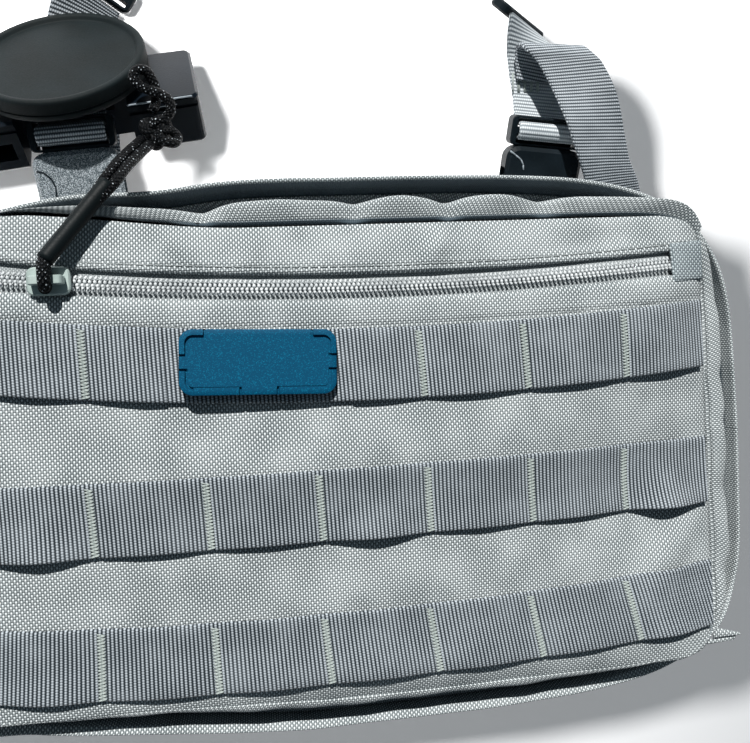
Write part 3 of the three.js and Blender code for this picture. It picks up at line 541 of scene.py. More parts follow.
PACK_CLOTH = rgb(68, 79, 83), rgb(229, 235, 237), 0.88, 0.9, 0.34
SEAM_SHADE_WIDTH = 1.2  # width of the shade painted along the front's seam
# Shade painted into the cloth along the gusset's seam, and down the lip's inner wall at the top and the right
# side
GUSSET_SHADE = [(SEAM_SHADE_WIDTH, 0.4, -40.0, 330.0), (SEAM_SHADE_WIDTH, 0.4, 440.0, 1200.0)]
BACK_SHADE = [(-0.8, -1.8, 60.0, 480.0), (-6.0, -8.0, -60.0, 110.0), (-6.0, -8.0, 940.0, 1300.0)]
cloth = woven("cloth", *PACK_CLOTH)
tab_cloth = woven("tab_cloth", rgb(66, 79, 86), rgb(196, 206, 210), *PACK_CLOTH[2:])
gusset_weave = woven("gusset_weave", *PACK_CLOTH, GUSSET_SHADE)
back_weave = woven("back_weave", *PACK_CLOTH, BACK_SHADE)
tape = woven("zip_tape", rgb(104, 111, 114), rgb(184, 189, 191), 0.6, 0.6, 0.12)
webbing = ribbed("webbing", rgb(30, 39, 45), rgb(172, 180, 187), RIB, 0.22)
strapping = ribbed("strapping", rgb(52, 61, 68), rgb(192, 199, 206), STRAP_RIB, 0.2)
# a lighter copy of the strapping with fainter ribs: light painted in for the sun on the right strap
lit_strapping = ribbed("lit_strapping", rgb(128, 136, 142), rgb(214, 220, 224), STRAP_RIB, 0.08)
thread = woven("thread", rgb(138, 149, 147), rgb(206, 215, 211), 0.5, 0.5, 0.1)
stitching = woven("stitching", rgb(104, 112, 114), rgb(190, 196, 197), 0.5, 0.5, 0.1)
coil_plastic = moulded("coil", rgb(172, 177, 180), rgb(206, 210, 212), 0.4, 1500.0, 0.1)
black_plastic = moulded("black_plastic", rgb(13, 21, 26), rgb(22, 31, 37), 0.45, 1400.0, 0.06, 0.12)
# the left buckle's black plastic painted grey with bright flecks, for the sun's glints on its rough face
glinting_plastic = flakes_and_glints("glinting_plastic", rgb(62, 73, 79), rgb(196, 204, 210), 0.5, 4600.0, 0.5)
dock_plastic = moulded("dock_plastic", rgb(8, 16, 24), rgb(13, 22, 31), 0.36, 1400.0, 0.03, 0.15)
# a light grey for highlights painted along edges that catch the sun
edge_highlight = moulded("edge_highlight", rgb(136, 146, 154), rgb(172, 182, 190), 0.4, 1400.0, 0.03)
dock_rubber = moulded("dock_rubber", rgb(7, 17, 19), rgb(13, 24, 27), 0.72, 1800.0, 0.05, 0.2)
slider_metal = moulded("slider_metal", rgb(156, 172, 168), rgb(182, 195, 192), 0.38, 800.0, 0.02, 0.5, 0.25)
cord_braid = braided("cord_braid", rgb(2, 3, 4), rgb(14, 17, 21), rgb(176, 184, 190))
sheath_rubber = moulded("sheath", rgb(6, 13, 15), rgb(12, 20, 23), 0.55, 1600.0, 0.05, 0.14)
blue_paint = flakes_and_glints("blue_paint", rgb(0, 66, 96), rgb(4, 98, 130), 0.25, 3600.0, 0.6, 0.1)


# Front panel

FRONT_COLUMNS, LOWER_ROWS, UPPER_ROWS = 190, 130, 34
FRONT_END = FRONT_REACH * FRONT_HALF_HEIGHT
FRONT_RIPPLE = 47.0, 0.22  # size and height of the front's unevenness
SEAM_FLAT = 0.6  # the drop is whole this far from the seam
# Edges that turn down at the seam and at the opening: depth and length
SEAM_TURN, LOWER_TURN, UPPER_TURN = (1.6, 1.5), (1.3, 0.7), (1.0, 0.5)
# The panel is drawn up at each tack: height, half width, half height where it is whole, and fade beyond that
PULL_RISE, PULL_WIDE, PULL_TALL, PULL_FADE = 0.45, 5.0, 11.0, 7.0
# Lower hem, from the opening: where it steps up, and how far; upper hem: rise, middle and half width
HEM_STEP, HEM_RISE = (9.5, 8.2), 0.9
PUFF_RISE, PUFF_MIDDLE, PUFF_WIDE = 0.6, 2.0, 2.4
# Stitch lines from the opening, and the grooves that they draw
LOWER_STITCHES, UPPER_STITCH = (7.2, 9.4), 2.7
LOWER_GROOVE, UPPER_GROOVE, GROOVE_WIDE = 0.35, 0.4, 0.7
STITCH_REACH, STITCH_PITCH, STITCH_LONG, STITCH_RADIUS = 134.0, 3.3, 2.5, 0.28
# Lines of stitches: offset from the middle of the opening, and rise over the panel
STITCH_LINES = [
    (ZIP_HALF_OPENING + UPPER_STITCH, 0.45),
    (-ZIP_HALF_OPENING - LOWER_STITCHES[0], 0.0),
    (-ZIP_HALF_OPENING - LOWER_STITCHES[1], -0.3),
]


def front_sheet(first, last, rows, follow, edge_shape):
    """A panel between two levels; follow gives its share in the zipper's bow, edge_shape an extra height."""
    s, t = grid(np.linspace(0, 1, FRONT_COLUMNS), np.linspace(0, 1, rows))
    level = first + t * (last - first)
    x = (2 * s - 1) * front_reach(level)
    y = tuck(x, level + follow(t) * (zip_y(x) - ZIP_LOW_Y))
    smooth = front_height(x, y)
    height = smooth + edge_shape(x, y) + ripple(x, y, *FRONT_RIPPLE)
    under = np.minimum(height, smooth) - CLOTH
    y = lift(x, y)
    return Shape().slab(vec(x, y, height), vec(x, y, under))


def seam_drop(x, y):
    """The panel turns down into the seam at its sides and along the top."""
    to_side = FRONT_HALF_WIDTH - np.abs(x)
    to_end = FRONT_HALF_HEIGHT - np.abs(y)
    distance = np.where(y > 0, np.minimum(to_side, to_end), to_side)
    return turn_down(np.maximum(distance - SEAM_FLAT, 0), *SEAM_TURN)


def tack_pull(x, y):
    """The panel is drawn up to the webbing at each tack."""
    pull = 0.0
    for row in ROWS:
        beyond = np.maximum(np.abs(y - row_y(row, x)) - PULL_TALL, 0)
        for tack in TACKS:
            pull = pull + PULL_RISE * bell(x, tack, PULL_WIDE) * bell(beyond, 0, PULL_FADE)
    return pull


def lower_edge(x, y):
    to_zip = zip_y(x) - ZIP_HALF_OPENING - y
    hem = HEM_RISE * smooth_step(*HEM_STEP, to_zip) + turn_down(to_zip, *LOWER_TURN)
    groove = LOWER_GROOVE * sum(bell(to_zip, line, GROOVE_WIDE) for line in LOWER_STITCHES)
    return seam_drop(x, y) + tack_pull(x, y) + hem - groove


def upper_edge(x, y):
    from_zip = y - zip_y(x) - ZIP_HALF_OPENING
    hem = PUFF_RISE * bell(from_zip, PUFF_MIDDLE, PUFF_WIDE) + turn_down(from_zip, *UPPER_TURN)
    return seam_drop(x, y) + hem - UPPER_GROOVE * bell(from_zip, UPPER_STITCH, GROOVE_WIDE)


def topstitch():
    shape = Shape()
    starts = np.arange(-STITCH_REACH, STITCH_REACH, STITCH_PITCH)
    for offset, rise in STITCH_LINES:
        ends = []
        for x in (starts, starts + STITCH_LONG):
            y = zip_y(x) + offset
            ends.append(front_point(x, y, ripple(x, y, *FRONT_RIPPLE) + rise))
        shape.capsules(*ends, STITCH_RADIUS)
    return shape


lower_sheet = front_sheet(-FRONT_END, ZIP_LOW_Y - ZIP_HALF_OPENING, LOWER_ROWS, lambda t: t**4, lower_edge)
upper_sheet = front_sheet(ZIP_LOW_Y + ZIP_HALF_OPENING, FRONT_END, UPPER_ROWS, lambda t: 1 - t, upper_edge)
front_lower = lower_sheet.piece("front_lower_cloth", cloth, "pack_cloth", "front_lower")
front_upper = upper_sheet.piece("front_upper_cloth", cloth, "pack_cloth", "front_upper")
topstitch().piece("topstitch", stitching, "pack_cloth")


# Zipper

ZIP_DROP = 1.5  # coil under the panel's surface
TAPE_HALF, TAPE_DROP, TAPE_THICK, TAPE_STEP, TAPE_COLUMNS = 7.0, 0.7, 1.0, 2.0, 9
COIL_PITCH, COIL_MARGIN = 1.66, 1.0
# Bars of one coil turn and of its chain stitch: both ends, as shift along the zipper, way from its middle and
# rise; then radius and flatness
COIL_BARS = [
    ((-0.1, 0.0, 0.95), (-0.35, 1.2, 1.25), 0.62, 0.9),
    ((-0.35, 1.1, 1.2), (0.45, 2.7, 0.7), 0.46, 0.9),
    ((0.3, 1.5, 1.65), (-0.3, 2.1, 1.6), 0.3, 1.0),
]
# End tabs: inner and outer end, half height, top and underside over the panel, turned edges, unevenness
TAB_FROM, TAB_TO, TAB_HALF, TAB_TOP, TAB_UNDER = 127.0, 140.4, 7.5, 1.7, 0.2
TAB_TURN, TAB_RIPPLE = (0.8, 0.5), (13.0, 0.15)
TAB_COLUMNS, TAB_ROWS = 20, 22


def zip_tape():
    x = np.arange(-ZIP_HALF_LENGTH, ZIP_HALF_LENGTH + TAPE_STEP / 2, TAPE_STEP)
    x, across = grid(x, np.linspace(-TAPE_HALF, TAPE_HALF, TAPE_COLUMNS))
    top = zip_point(x, across, -ZIP_DROP - TAPE_DROP)
    return Shape().slab(top, top - TAPE_THICK * UP)


def zip_teeth(side):
    """One row of slanting coil turns, with the chain stitch that holds them."""
    shape = Shape()
    reach = ZIP_HALF_LENGTH - COIL_MARGIN
    turns = np.arange(-reach, reach, COIL_PITCH) + side * COIL_PITCH / 4
    for start, end, radius, flat in COIL_BARS:
        ends = [zip_point(turns + shift, side * across, rise - ZIP_DROP)
                for shift, across, rise in (start, end)]
        shape.capsules(*ends, radius, flat)
    return shape


def zip_end_tab(side):
    columns, rows = np.linspace(TAB_FROM, TAB_TO, TAB_COLUMNS), np.linspace(-TAB_HALF, TAB_HALF, TAB_ROWS)
    x, across = grid(columns * side, rows)
    y = zip_y(x) + across
    edges = turn_down(np.abs(x) - TAB_FROM, *TAB_TURN) + turn_down(TAB_HALF - np.abs(across), *TAB_TURN)
    top = front_point(x, y, TAB_TOP + edges + ripple(x, y, *TAB_RIPPLE))
    return Shape().slab(top, front_point(x, y, TAB_UNDER))


zip_tape().piece("zip_tape_cloth", tape, "pack_cloth", "zip_tape")
for side, name in ((1, "upper"), (-1, "lower")):
    zip_teeth(side).piece(f"zip_teeth_{name}", coil_plastic, "zip_coil", f"zip_coil_{name}")
for side, name in SIDES:
    zip_end_tab(side).piece(f"zip_end_{name}", tab_cloth, "pack_cloth", f"zip_tab_{name}")


# Loop webbing

UNDER_BADGE = 0.6  # half width that the badge presses flat, as a share of its width
TACK_HALF, TACK_PRESS = 1.9, 0.5  # half width of the band pressed down by a tack, and how far
RIB_RISE, RIB_PRESSED = 0.3, 0.7  # height of a rib, and how much of it a tack presses flat
RIB_ROUND, RIB_POWER = 1.6, 0.7  # how far from a band's edge its ribs fade, and how flat their tops are
ROW_EDGES, ROW_COLUMNS, RIB_STEPS = (0.2, 0.5, 1.0), 11, 6
# Bar tacks: half width, stitch pitch, reach across the row, rise over it, radius of each slanting stroke
BAR_HALF, BAR_PITCH, BAR_REACH, BAR_RISE, BAR_RADII = 1.35, 1.15, 12.0, 0.1, (0.34, 0.24)


def loop_lift(index, x, across):
    """Height of a row over the panel; across is 0 at its upper edge and 1 at its lower edge."""
    ends = np.concatenate([[-ROW_HALF_LENGTH], TACKS, [ROW_HALF_LENGTH]])
    loop = np.clip(np.searchsorted(ends, x, side="right") - 1, 0, len(ends) - 2)
    arch = np.sin(math.pi * (x - ends[loop]) / (ends[loop + 1] - ends[loop])) ** 2
    loose = np.zeros_like(x)
    for row, number, rise in LOOSE_LOOPS:
        if row == index:
            loose = np.where(loop == number, rise, loose)
    under_badge = (np.abs(x - BADGE["x"]) < UNDER_BADGE * BADGE["width"]) & (index == 0)
    return ROW_GAP + np.where(under_badge, 0.0, LOOP_LIFT * arch + loose * arch * across**2)


def band_columns(edges, count):
    """Places across a band: a few at distances from each edge, and count between the last two."""
    left = np.array([0.0, *edges]) - WEBBING_WIDTH / 2
    return np.concatenate([left[:-1], np.linspace(left[-1], -left[-1], count), -left[-2::-1]])


def edge_round(across, radius=0.9):
    """Share of the full thickness near a band's edges."""
    inside = np.clip((WEBBING_WIDTH / 2 - np.abs(across)) / radius, 0, 1)
    return np.sqrt(1 - (1 - inside) ** 2)


def rib_height(distance, rib):
    return np.abs(np.sin(math.pi * distance / rib)) ** RIB_POWER


def row_lean(row, x):
    """How far the ribs and tacks of a row lean, in x for each millimetre down."""
    return row["lean"] + row["lean_right"] * x / 100


def webbing_row(index):
    row = ROWS[index]
    x = np.arange(-ROW_HALF_LENGTH, ROW_HALF_LENGTH, RIB / RIB_STEPS)
    x, across = grid(x, band_columns(ROW_EDGES, ROW_COLUMNS))
    y = row_y(row, x) + across
    upright = x + row_lean(row, x) * across
    nearest = np.abs(upright[..., None] - TACKS).min(-1)
    pressed = np.exp(-((nearest / TACK_HALF) ** 4))
    half = (WEBBING_THICK - TACK_PRESS * pressed) * edge_round(across) / 2
    rib = RIB_RISE * rib_height(upright, RIB) * (1 - RIB_PRESSED * pressed) * edge_round(across, RIB_ROUND)
    middle = front_height(x, y) + loop_lift(index, x, 0.5 - across / WEBBING_WIDTH) + WEBBING_THICK / 2
    return Shape().slab(vec(x, y, middle + half + rib), vec(x, y, middle - half), vec(upright, across))


def bar_tacks(index):
    """Dense zigzag stitches over each tack of a row."""
    row = ROWS[index]
    shape = Shape()
    across = np.arange(-BAR_REACH, BAR_REACH - BAR_PITCH, BAR_PITCH)
    for tack in TACKS:
        if index == 0 and abs(tack - BADGE["x"]) < BADGE["width"] / 2:
            continue
        corners = []
        for half_turns, shift in enumerate((-BAR_HALF, BAR_HALF, -BAR_HALF)):
            offset = across + half_turns * BAR_PITCH / 2
            x = tack + shift - row_lean(row, tack) * offset
            corners.append(front_point(x, row_y(row, x) + offset, ROW_GAP + WEBBING_THICK + BAR_RISE))
        for stroke, radius in enumerate(BAR_RADII):
            shape.capsules(*corners[stroke:stroke + 2], radius)
    return shape


for number, row in enumerate(ROWS):
    webbing_row(number).piece(row["name"] + "_webbing", webbing, "webbing", row["name"])
    bar_tacks(number).piece(row["name"] + "_tacks", thread, "webbing")


# Gusset

# Sections from the front seam out to the rim: share of the way out, and height
GUSSET_TOP = [
    (0.0, 61.9), (0.05, 62.1), (0.15, 62.6), (0.36, 62.9), (0.49, 60.6), (0.57, 52), (0.64, 41), (0.82, 34.6),
    (1.0, 33.6),
]
GUSSET_SIDE = [
    (0.0, 59.8), (0.05, 61.6), (0.14, 63.4), (0.28, 63.2), (0.42, 60), (0.55, 53), (0.68, 44), (0.84, 36),
    (1.0, 33.6),
]
GUSSET_BOTTOM = [
    (0.0, 62.6), (0.1, 62.4), (0.2, 61.8), (0.3, 60.2), (0.42, 57.2), (0.55, 54), (0.68, 51), (0.84, 48),
    (1.0, 46),
]
# Gathers along the top edge: place along x, half width, how far it stands out
GATHERS = [(-100, 34, 2.2), (-22, 18, 2.0), (24, 14, 2.2), (58, 14, 2.4), (96, 16, 2.0), (128, 16, 5.0)]
# Nips between the gathers, and folds across the sides: place, half width, depth
TOP_NIPS = [(-46, 8, 4.4), (9, 7, 3.4), (44, 6, 4.6), (80, 8, 3.4)]
SIDE_NIPS = [(24, 5, 1.1), (6, 4, 1.2), (-20, 6, 1.3), (-52, 5, 1.4), (52, 6, 0.8)]
NIP_POWER = 1.4  # how rounded a nip is
GATHERED_FROM = 0.9  # how far up a direction points where the gathers begin
END_RANGE = 0.72, 1.0  # how far up or down a direction points as the top's or bottom's section takes over
SEAM_UNDER = 1.8  # how far the gusset starts under the front's lower edge
SEAM_OUT, RIM_INSIDE = 0.2, 4.6  # seam outside the front's edge, foot inside the rim
FLUSH_DROP, FLUSH_REACH = 0.3, 0.4  # at the bottom it starts just under the front, and for what share
BELLY_REACH, BELLY_POWER = 0.7, 0.8  # share of the way out that puffs, and how evenly
PUFF_OUT, PUFF_UP = 0.8, 0.55
GUSSET_RIPPLE, GUSSET_DEPTH = (38.0, 0.7), 24.0  # unevenness, and the depth that it is laid over
WALL_IN, WALL_DOWN = 1.3, 1.5  # from the outer face to the inner one
PACK_STEPS, GUSSET_ROWS = 520, 36


def nips(place, table):
    return sum(depth * np.exp(-np.abs((place - middle) / wide) ** NIP_POWER) for middle, wide, depth in table)


def gusset_shape():
    directions = perimeter(PACK_STEPS)
    upward = directions[:, 1][:, None]
    top, bottom = smooth_step(*END_RANGE, upward), smooth_step(*END_RANGE, -upward)
    side = 1 - top - bottom
    seam = pack_ring(directions, FRONT_HALF_WIDTH + SEAM_OUT, FRONT_HALF_HEIGHT + SEAM_OUT, FRONT_POWER)
    seam[:, 1] = tuck(*seam.T) + SEAM_UNDER * bottom[:, 0]
    seam[:, 1] = lift(*seam.T)
    rim = draw_in(pack_ring(directions, RIM_HALF_WIDTH - RIM_INSIDE, RIM_HALF_HEIGHT - RIM_INSIDE, RIM_POWER))
    sections = [smooth_rows(table, GUSSET_ROWS) for table in (GUSSET_TOP, GUSSET_SIDE, GUSSET_BOTTOM)]
    share, height = (sum(weight * section[:, k] for weight, section in zip((top, side, bottom), sections))
                     for k in range(2))
    flush = front_height(*(FRONT_REACH * seam.T))[:, None] - FLUSH_DROP
    height = height + bottom * (flush - height[:, :1]) * bell(share, 0, FLUSH_REACH)
    x, y = (seam[:, None] + (rim - seam)[:, None] * share[..., None]).transpose(2, 0, 1)
    out_x, out_y = unit(rim - seam).T[..., None]
    way = way_along(looped(rim))[:, None]

    gathers = sum(rise * bell(x, middle, wide) for middle, wide, rise in GATHERS)
    puff = top * (np.where(upward > GATHERED_FROM, gathers, 0.0) - nips(x, TOP_NIPS))
    puff = puff - side * nips(y, SIDE_NIPS) + ripple(way[:-1], share * GUSSET_DEPTH, *GUSSET_RIPPLE)
    puff = puff * np.sin(math.pi * np.clip(share / BELLY_REACH, 0, 1)) ** BELLY_POWER
    outer = vec(x + out_x * puff * PUFF_OUT, y + out_y * puff * PUFF_OUT, height + puff * PUFF_UP)
    inner = outer - vec(WALL_IN * out_x, WALL_IN * out_y, WALL_DOWN)

    # the painted seam shade is kept off the bottom
    depth = way_along(outer, 1) + SEAM_SHADE_WIDTH * bottom
    across = np.concatenate([depth, depth[:, ::-1], depth[:, :1]], 1)
    uv = vec(way, looped(across))
    return Shape().tube(np.concatenate([outer, inner[:, ::-1]], 1), uv, closed=True)


gusset = gusset_shape().piece("gusset_cloth", gusset_weave, "pack_cloth", "gusset")


# Back

# Section: half width, half height, exponent and height, from the inner floor to the underside
BACK_INNER = [
    (130, 70, 5, 9), (142, 79, 4.8, 14), (150, 86, 4.6, 22), (157, 94, 4.4, 30.4), (162.9, 101.9, 4.4, 32.6),
]
LIP = [
    (164.4, 103.4, 4.4, 36), (165.0, 104.0, 4.4, 42.8), (165.2, 104.2, 4.4, 44.9), (165.7, 104.7, 4.4, 45.6),
    (166.4, 105.4, 4.4, 45.3), (166.9, 105.9, 4.4, 44.0), (166.8, 105.8, 4.4, 41.4),
]
BACK_OUTER = [
    (165.8, 104.8, 4.4, 36), (163.4, 101.8, 4.4, 29.5), (154.5, 91, 4.6, 19), (142.5, 79.5, 4.8, 8),
    (134, 73, 5, 2.2), (126, 66, 5, 0.0),
]
BACK_RINGS = ((BACK_INNER, 14), (LIP, 22), (BACK_OUTER, 34))
DRAWN = 14.0, 34.0  # heights between which the back comes to follow the rim
LIP_BENT = 37.0, 43.0  # heights between which the lip comes to be bent up
LIP_RIPPLE = 61.0, 0.5
LIP_WIDER, INNER_RINGS = 2.0, 23  # the lip is wider at the bottom, by its inner rings


def back_shape():
    directions = perimeter(PACK_STEPS)
    section = np.concatenate([smooth_rows(table, count) for table, count in BACK_RINGS])
    rings = []
    for width, height, exponent, z in section:
        plan = pack_ring(directions, width, height, exponent)
        x, y = plan.T
        low, drawn = smooth_step(*LIP_BOTTOM, y), smooth_step(*DRAWN, z)
        bent = low * (LIP_RISE_BOTTOM + LIP_RISE_LOWER_LEFT * smooth_step(*LIP_LEFT, x)) * off_corner(x)
        bent = bent + LIP_RISE_TOP * smooth_step(*LIP_TOP, y) + ripple(x, y, *LIP_RIPPLE)
        plan = plan + (draw_in(plan) - plan) * drawn
        wider = LIP_WIDER * (len(rings) < INNER_RINGS) * drawn * low
        rings.append(vec(plan[:, 0], plan[:, 1] + wider, z + smooth_step(*LIP_BENT, z) * bent))
    rings = np.array(rings)
    down = way_along(rings)
    down = down - down[np.argmax(section[:, 3])]
    rim = pack_ring(directions, RIM_HALF_WIDTH, RIM_HALF_HEIGHT, RIM_POWER)
    return Shape().tube(rings, vec(way_along(looped(rim)), np.column_stack([down, down[:, 0]])))


back = back_shape().piece("back_padding", back_weave, "pack_cloth", "back_panel")

# Corner folds: place of the right one on the rim, puff of a leaf and its least thickness
CORNER_X, CORNER_Y, LEAF_PUFF, LEAF_THICK = 149.0, -80.2, 0.8, 0.2
# How evenly a leaf puffs across and along, and where on half a wave its length starts and how far it goes
LEAF_ACROSS, LEAF_ALONG, LEAF_START, LEAF_RUN = 0.6, 0.5, 0.1, 0.85
LEAF_COLUMNS, LEAF_ROWS = 14, 9
# Leaves of a fold: outline from the rim out and back, and height over the rim
CORNER_LEAVES = [
    (((0, 0), (12, -3.6), (11.6, -4.4), (0, -4.8)), 2.2),
    (((-1, -5.2), (10.6, -5.0), (9.4, -6.8), (-2, -7.4)), 0.9),
]


def corner_fold(side):
    """A cloth corner on the lower rim, folded into two leaves."""
    shape = Shape()
    s, t = grid(np.linspace(0, 1, LEAF_COLUMNS), np.linspace(0, 1, LEAF_ROWS))
    puff = LEAF_PUFF * np.sin(math.pi * t) ** LEAF_ACROSS
    puff = puff * np.sin(math.pi * (LEAF_START + LEAF_RUN * s)) ** LEAF_ALONG
    for outline, height in CORNER_LEAVES:
        outline = np.array(outline, float)
        upper = outline[0] + (outline[1] - outline[0]) * s[..., None]
        lower = outline[3] + (outline[2] - outline[3]) * s[..., None]
        out, along = (upper + (lower - upper) * t[..., None]).transpose(2, 0, 1)
        x, y, middle = side * (CORNER_X + out), CORNER_Y + along, RIM_HEIGHT + height
        shape.slab(vec(x, y, middle + puff), vec(x, y, middle - LEAF_THICK - puff))
    return shape


for side, name in SIDES:
    corner_fold(side).piece(f"corner_fold_{name}", cloth, "pack_cloth", f"corner_tab_{name}")


# Straps

BUCKLE_LENGTH, LOCK_LENGTH, LOCK_THICK, SLIDER_HEIGHT = 25.0, 11.5, 7.0, 10.0
STRAP_SETS = [
    dict(side="right", x=92.6, y=119.6, z=30.5, turn=-6, rise=20, webbing=lit_strapping, prong=edge_highlight),
    dict(side="left", x=-92.4, y=121.6, z=29.4, turn=5, rise=14, webbing=strapping, prong=black_plastic),
]
STRAP_EDGES, STRAP_COLUMNS, STRAP_RIB_RISE, STRAP_RIB_ROUND, RIB_SUNK = (0.25, 0.6, 1.2), 7, 0.2, 1.4, 0.1
TAIL_SKEW = {"right": 0.13, "left": 0.0}  # slant of the ribs on each strap's loose end
# The strap round the lock's bar: way along it from the bar, whether over or under it, and extra height
BAR_WRAP = [
    (-3.0, -1, 0.0), (-2.8, 0, 0.0), (-2.2, 1, -0.8), (0.0, 1, 0.2), (2.2, 1, -0.8), (2.8, 0, 0.0),
    (4.6, -1, -0.2),
]
# The buckle's tab: way past its end where it starts and leaves it, then y and z of its end under the rim
TAB_STARTS, TAB_ENDS = (-5.0, 3.0), ((87.4, 18.2), (81.4, 10.4))
# The tongue that closes the gap between a buckle's body and its lock
TONGUE_HALF, TONGUE_ENDS, TONGUE_TOP, TONGUE_UNDER = 12.3, (-1.4, 4.8), -1.4, -2.4
# A painted line along the edge of each buckle's left prong on the buckle's face: a highlight on the right
# buckle, shade in its recess on the left
PRONG_HEIGHT, PRONG_RADIUS = 5.0, 0.32
PRONG_EDGES = {
    "right": [(-15.2, -2.1), (-12.6, -3.6), (-10.1, -5.2), (-8.9, -7.1), (-8.5, -9.1)],
    "left": [(-14.6, -6.4), (-12.1, -7.1), (-9.8, -9.8), (-8.9, -12.9), (-9.3, -16.6)],
}
# Sliders: middle, direction of its length, and direction in which the strap goes into it
SLIDER_PLACES = {
    "right": ((84.6, 172.3, 30), (0.742, -0.13, -0.656), (-0.386, 0.716, -0.579)),
    "left": ((-83.4, 193.6, 11.5), (0.8, -0.5, -0.33), (0.53, 0.848, 0)),
}
# Strap routes: centre line x, y, z and the direction of the strap's width
STRAP_ROUTES = {
    "right": [
        (93.8, 139, 28.6, 0.99, -0.1, 0), (92.6, 148, 29.2, 0.99, -0.08, 0),
        (91, 156, 30.6, 0.98, -0.08, -0.1), (89.2, 162, 32.2, 0.9, -0.1, -0.35),
    ],
    "left": [
        (-93.5, 138.6, 27.8, 0.99, 0.12, 0), (-94.8, 147.5, 20, 0.99, 0.14, 0),
        (-96.1, 157.5, 11.2, 0.99, 0.12, 0), (-95.4, 167, 4.8, 0.99, -0.02, 0),
        (-93.4, 175.8, 4.8, 0.97, -0.22, -0.04), (-90, 183.4, 7.8, 0.87, -0.4, -0.22),
    ],
}
TAIL_ROUTES = {
    "right": [
        (95, 146, 31.3, 0.99, -0.08, 0), (94.2, 151.2, 33.2, 0.99, -0.08, 0.02),
        (93.4, 155.2, 36, 0.99, -0.1, 0.06), (93.2, 157.2, 38.8, 0.98, -0.1, 0.12),
        (93.8, 156.4, 42.6, 0.97, -0.12, 0.2), (95.4, 153.6, 44.9, 0.96, -0.12, 0.26),
        (98.4, 150.2, 45.6, 0.95, -0.12, 0.31), (104.2, 138.9, 46, 0.95, -0.12, 0.2),
        (109.2, 124.8, 44.6, 0.93, -0.1, -0.1), (114.2, 113.4, 40, 0.92, -0.06, -0.2),
        (119.8, 104.6, 34.6, 0.94, 0.02, -0.15), (125, 95, 27, 0.95, 0.1, -0.1),
    ],
    "left": [
        (-94, 178, 1.4, 0.97, 0.24, 0), (-93.4, 160, 1.3, 1, 0.1, 0), (-93, 140, 1.3, 1, 0.04, 0),
        (-92.6, 115, 1.3, 1, 0, 0), (-92.4, 90, 1.6, 1, 0, 0), (-92.4, 73, 3.6, 1, 0, 0),
    ],
}
# Bar tack on the right strap, beside the arch: strokes along the strap from its left edge
TACK_STROKES, TACK_FROM, TACK_TO, TACK_LEFT, TACK_STEP = 9, 142.6, 150.2, 81.4, 1.35
TACK_SWAY, TACK_SWAY_RATE, TACK_RISE, TACK_RADIUS = 0.4, 7, 0.25, 0.3


def slider_mouth(side):
    """Where a strap ends, just before its slider."""
    place, along, way = (np.array(v, float) for v in SLIDER_PLACES[side])
    return (*(place - unit(way) * (SLIDER_HEIGHT / 2 + 3 * GAP)), *along)


def strap(stations, skew=0.0):
    """Ribbed strap along stations of centre line and width direction."""
    stations = np.array(stations, float)
    middle, place, distance = even_steps(*curve_through(stations[:, :3]), STRAP_RIB / RIB_STEPS)
    across = unit(sampled(place, np.arange(len(stations)), stations[:, 3:]))
    up = unit(np.cross(across, unit(np.gradient(middle, axis=0))))
    columns = band_columns(STRAP_EDGES, STRAP_COLUMNS)
    upright = distance[:, None] + skew * columns
    rib = STRAP_RIB_RISE * rib_height(upright, STRAP_RIB) * edge_round(columns, STRAP_RIB_ROUND)
    half = WEBBING_THICK / 2 * edge_round(columns) + rib - RIB_SUNK
    flat = middle[:, None] + across[:, None] * columns[:, None]
    raised = up[:, None] * half[..., None]
    return Shape().slab(flat + raised, flat - raised, vec(upright, columns))


def tongue(place):
    s, t = grid(np.linspace(-TONGUE_HALF, TONGUE_HALF, 3), np.linspace(*TONGUE_ENDS, 3))
    return Shape().slab(place(vec(s, t, TONGUE_TOP)), place(vec(s, t, TONGUE_UNDER)), vec(s, t))


def strap_set(side, x, y, z, turn, rise, webbing, prong):
    """The webbing of one buckle, with the buckle's tongue and the painted line along the edge of its prong.
    """
    spin = turned(("Z", turn), ("X", rise))

    def place(points):
        return np.array([x, y, z]) + points @ spin.T

    def station(along, height):
        return (*place(np.array([0.0, along, height])), *spin[:, 0])

    bar = LOCK_LENGTH / 2 + GAP
    over_bar = LOCK_THICK / 2 + 2 * GAP + WEBBING_THICK / 2
    wrap = [station(bar + along, level * over_bar + extra) for along, level, extra in BAR_WRAP]
    tab = [station(-BUCKLE_LENGTH - past, 0) for past in TAB_STARTS]
    tab += [(x, end_y, end_z, 1, 0, 0) for end_y, end_z in TAB_ENDS]
    edge = place(np.array([(*corner, PRONG_HEIGHT) for corner in PRONG_EDGES[side]]))
    strap([*wrap, *STRAP_ROUTES[side], slider_mouth(side)]).piece(
        f"strap_{side}_webbing", webbing, "webbing", f"strap_{side}")
    strap(TAIL_ROUTES[side], TAIL_SKEW[side]).piece(
        f"tail_{side}_webbing", strapping, "webbing", f"strap_tail_{side}")
    strap(tab).piece(f"tab_{side}_webbing", strapping, "webbing", f"buckle_tab_{side}")
    tongue(place).piece(f"tongue_{side}", black_plastic, "black_plastic")
    Shape().capsules(edge[:-1], edge[1:], PRONG_RADIUS, up=spin[:, 2]).piece(
        f"prong_edge_{side}", prong, "black_plastic")


def strap_tack():
    route = np.array(STRAP_ROUTES["right"])
    x = TACK_LEFT + TACK_STEP * np.arange(TACK_STROKES)
    ends = []
    for y in (TACK_FROM, TACK_TO):
        height = np.interp(y, route[:, 1], route[:, 2]) + WEBBING_THICK / 2 + TACK_RISE
        ends.append(vec(x + TACK_SWAY * np.sin(x * TACK_SWAY_RATE), y, height))
    return Shape().capsules(*ends, TACK_RADIUS)


for group in STRAP_SETS:
    strap_set(**group)
strap_tack().piece("strap_right_tack", thread, "webbing")


# Pull cord

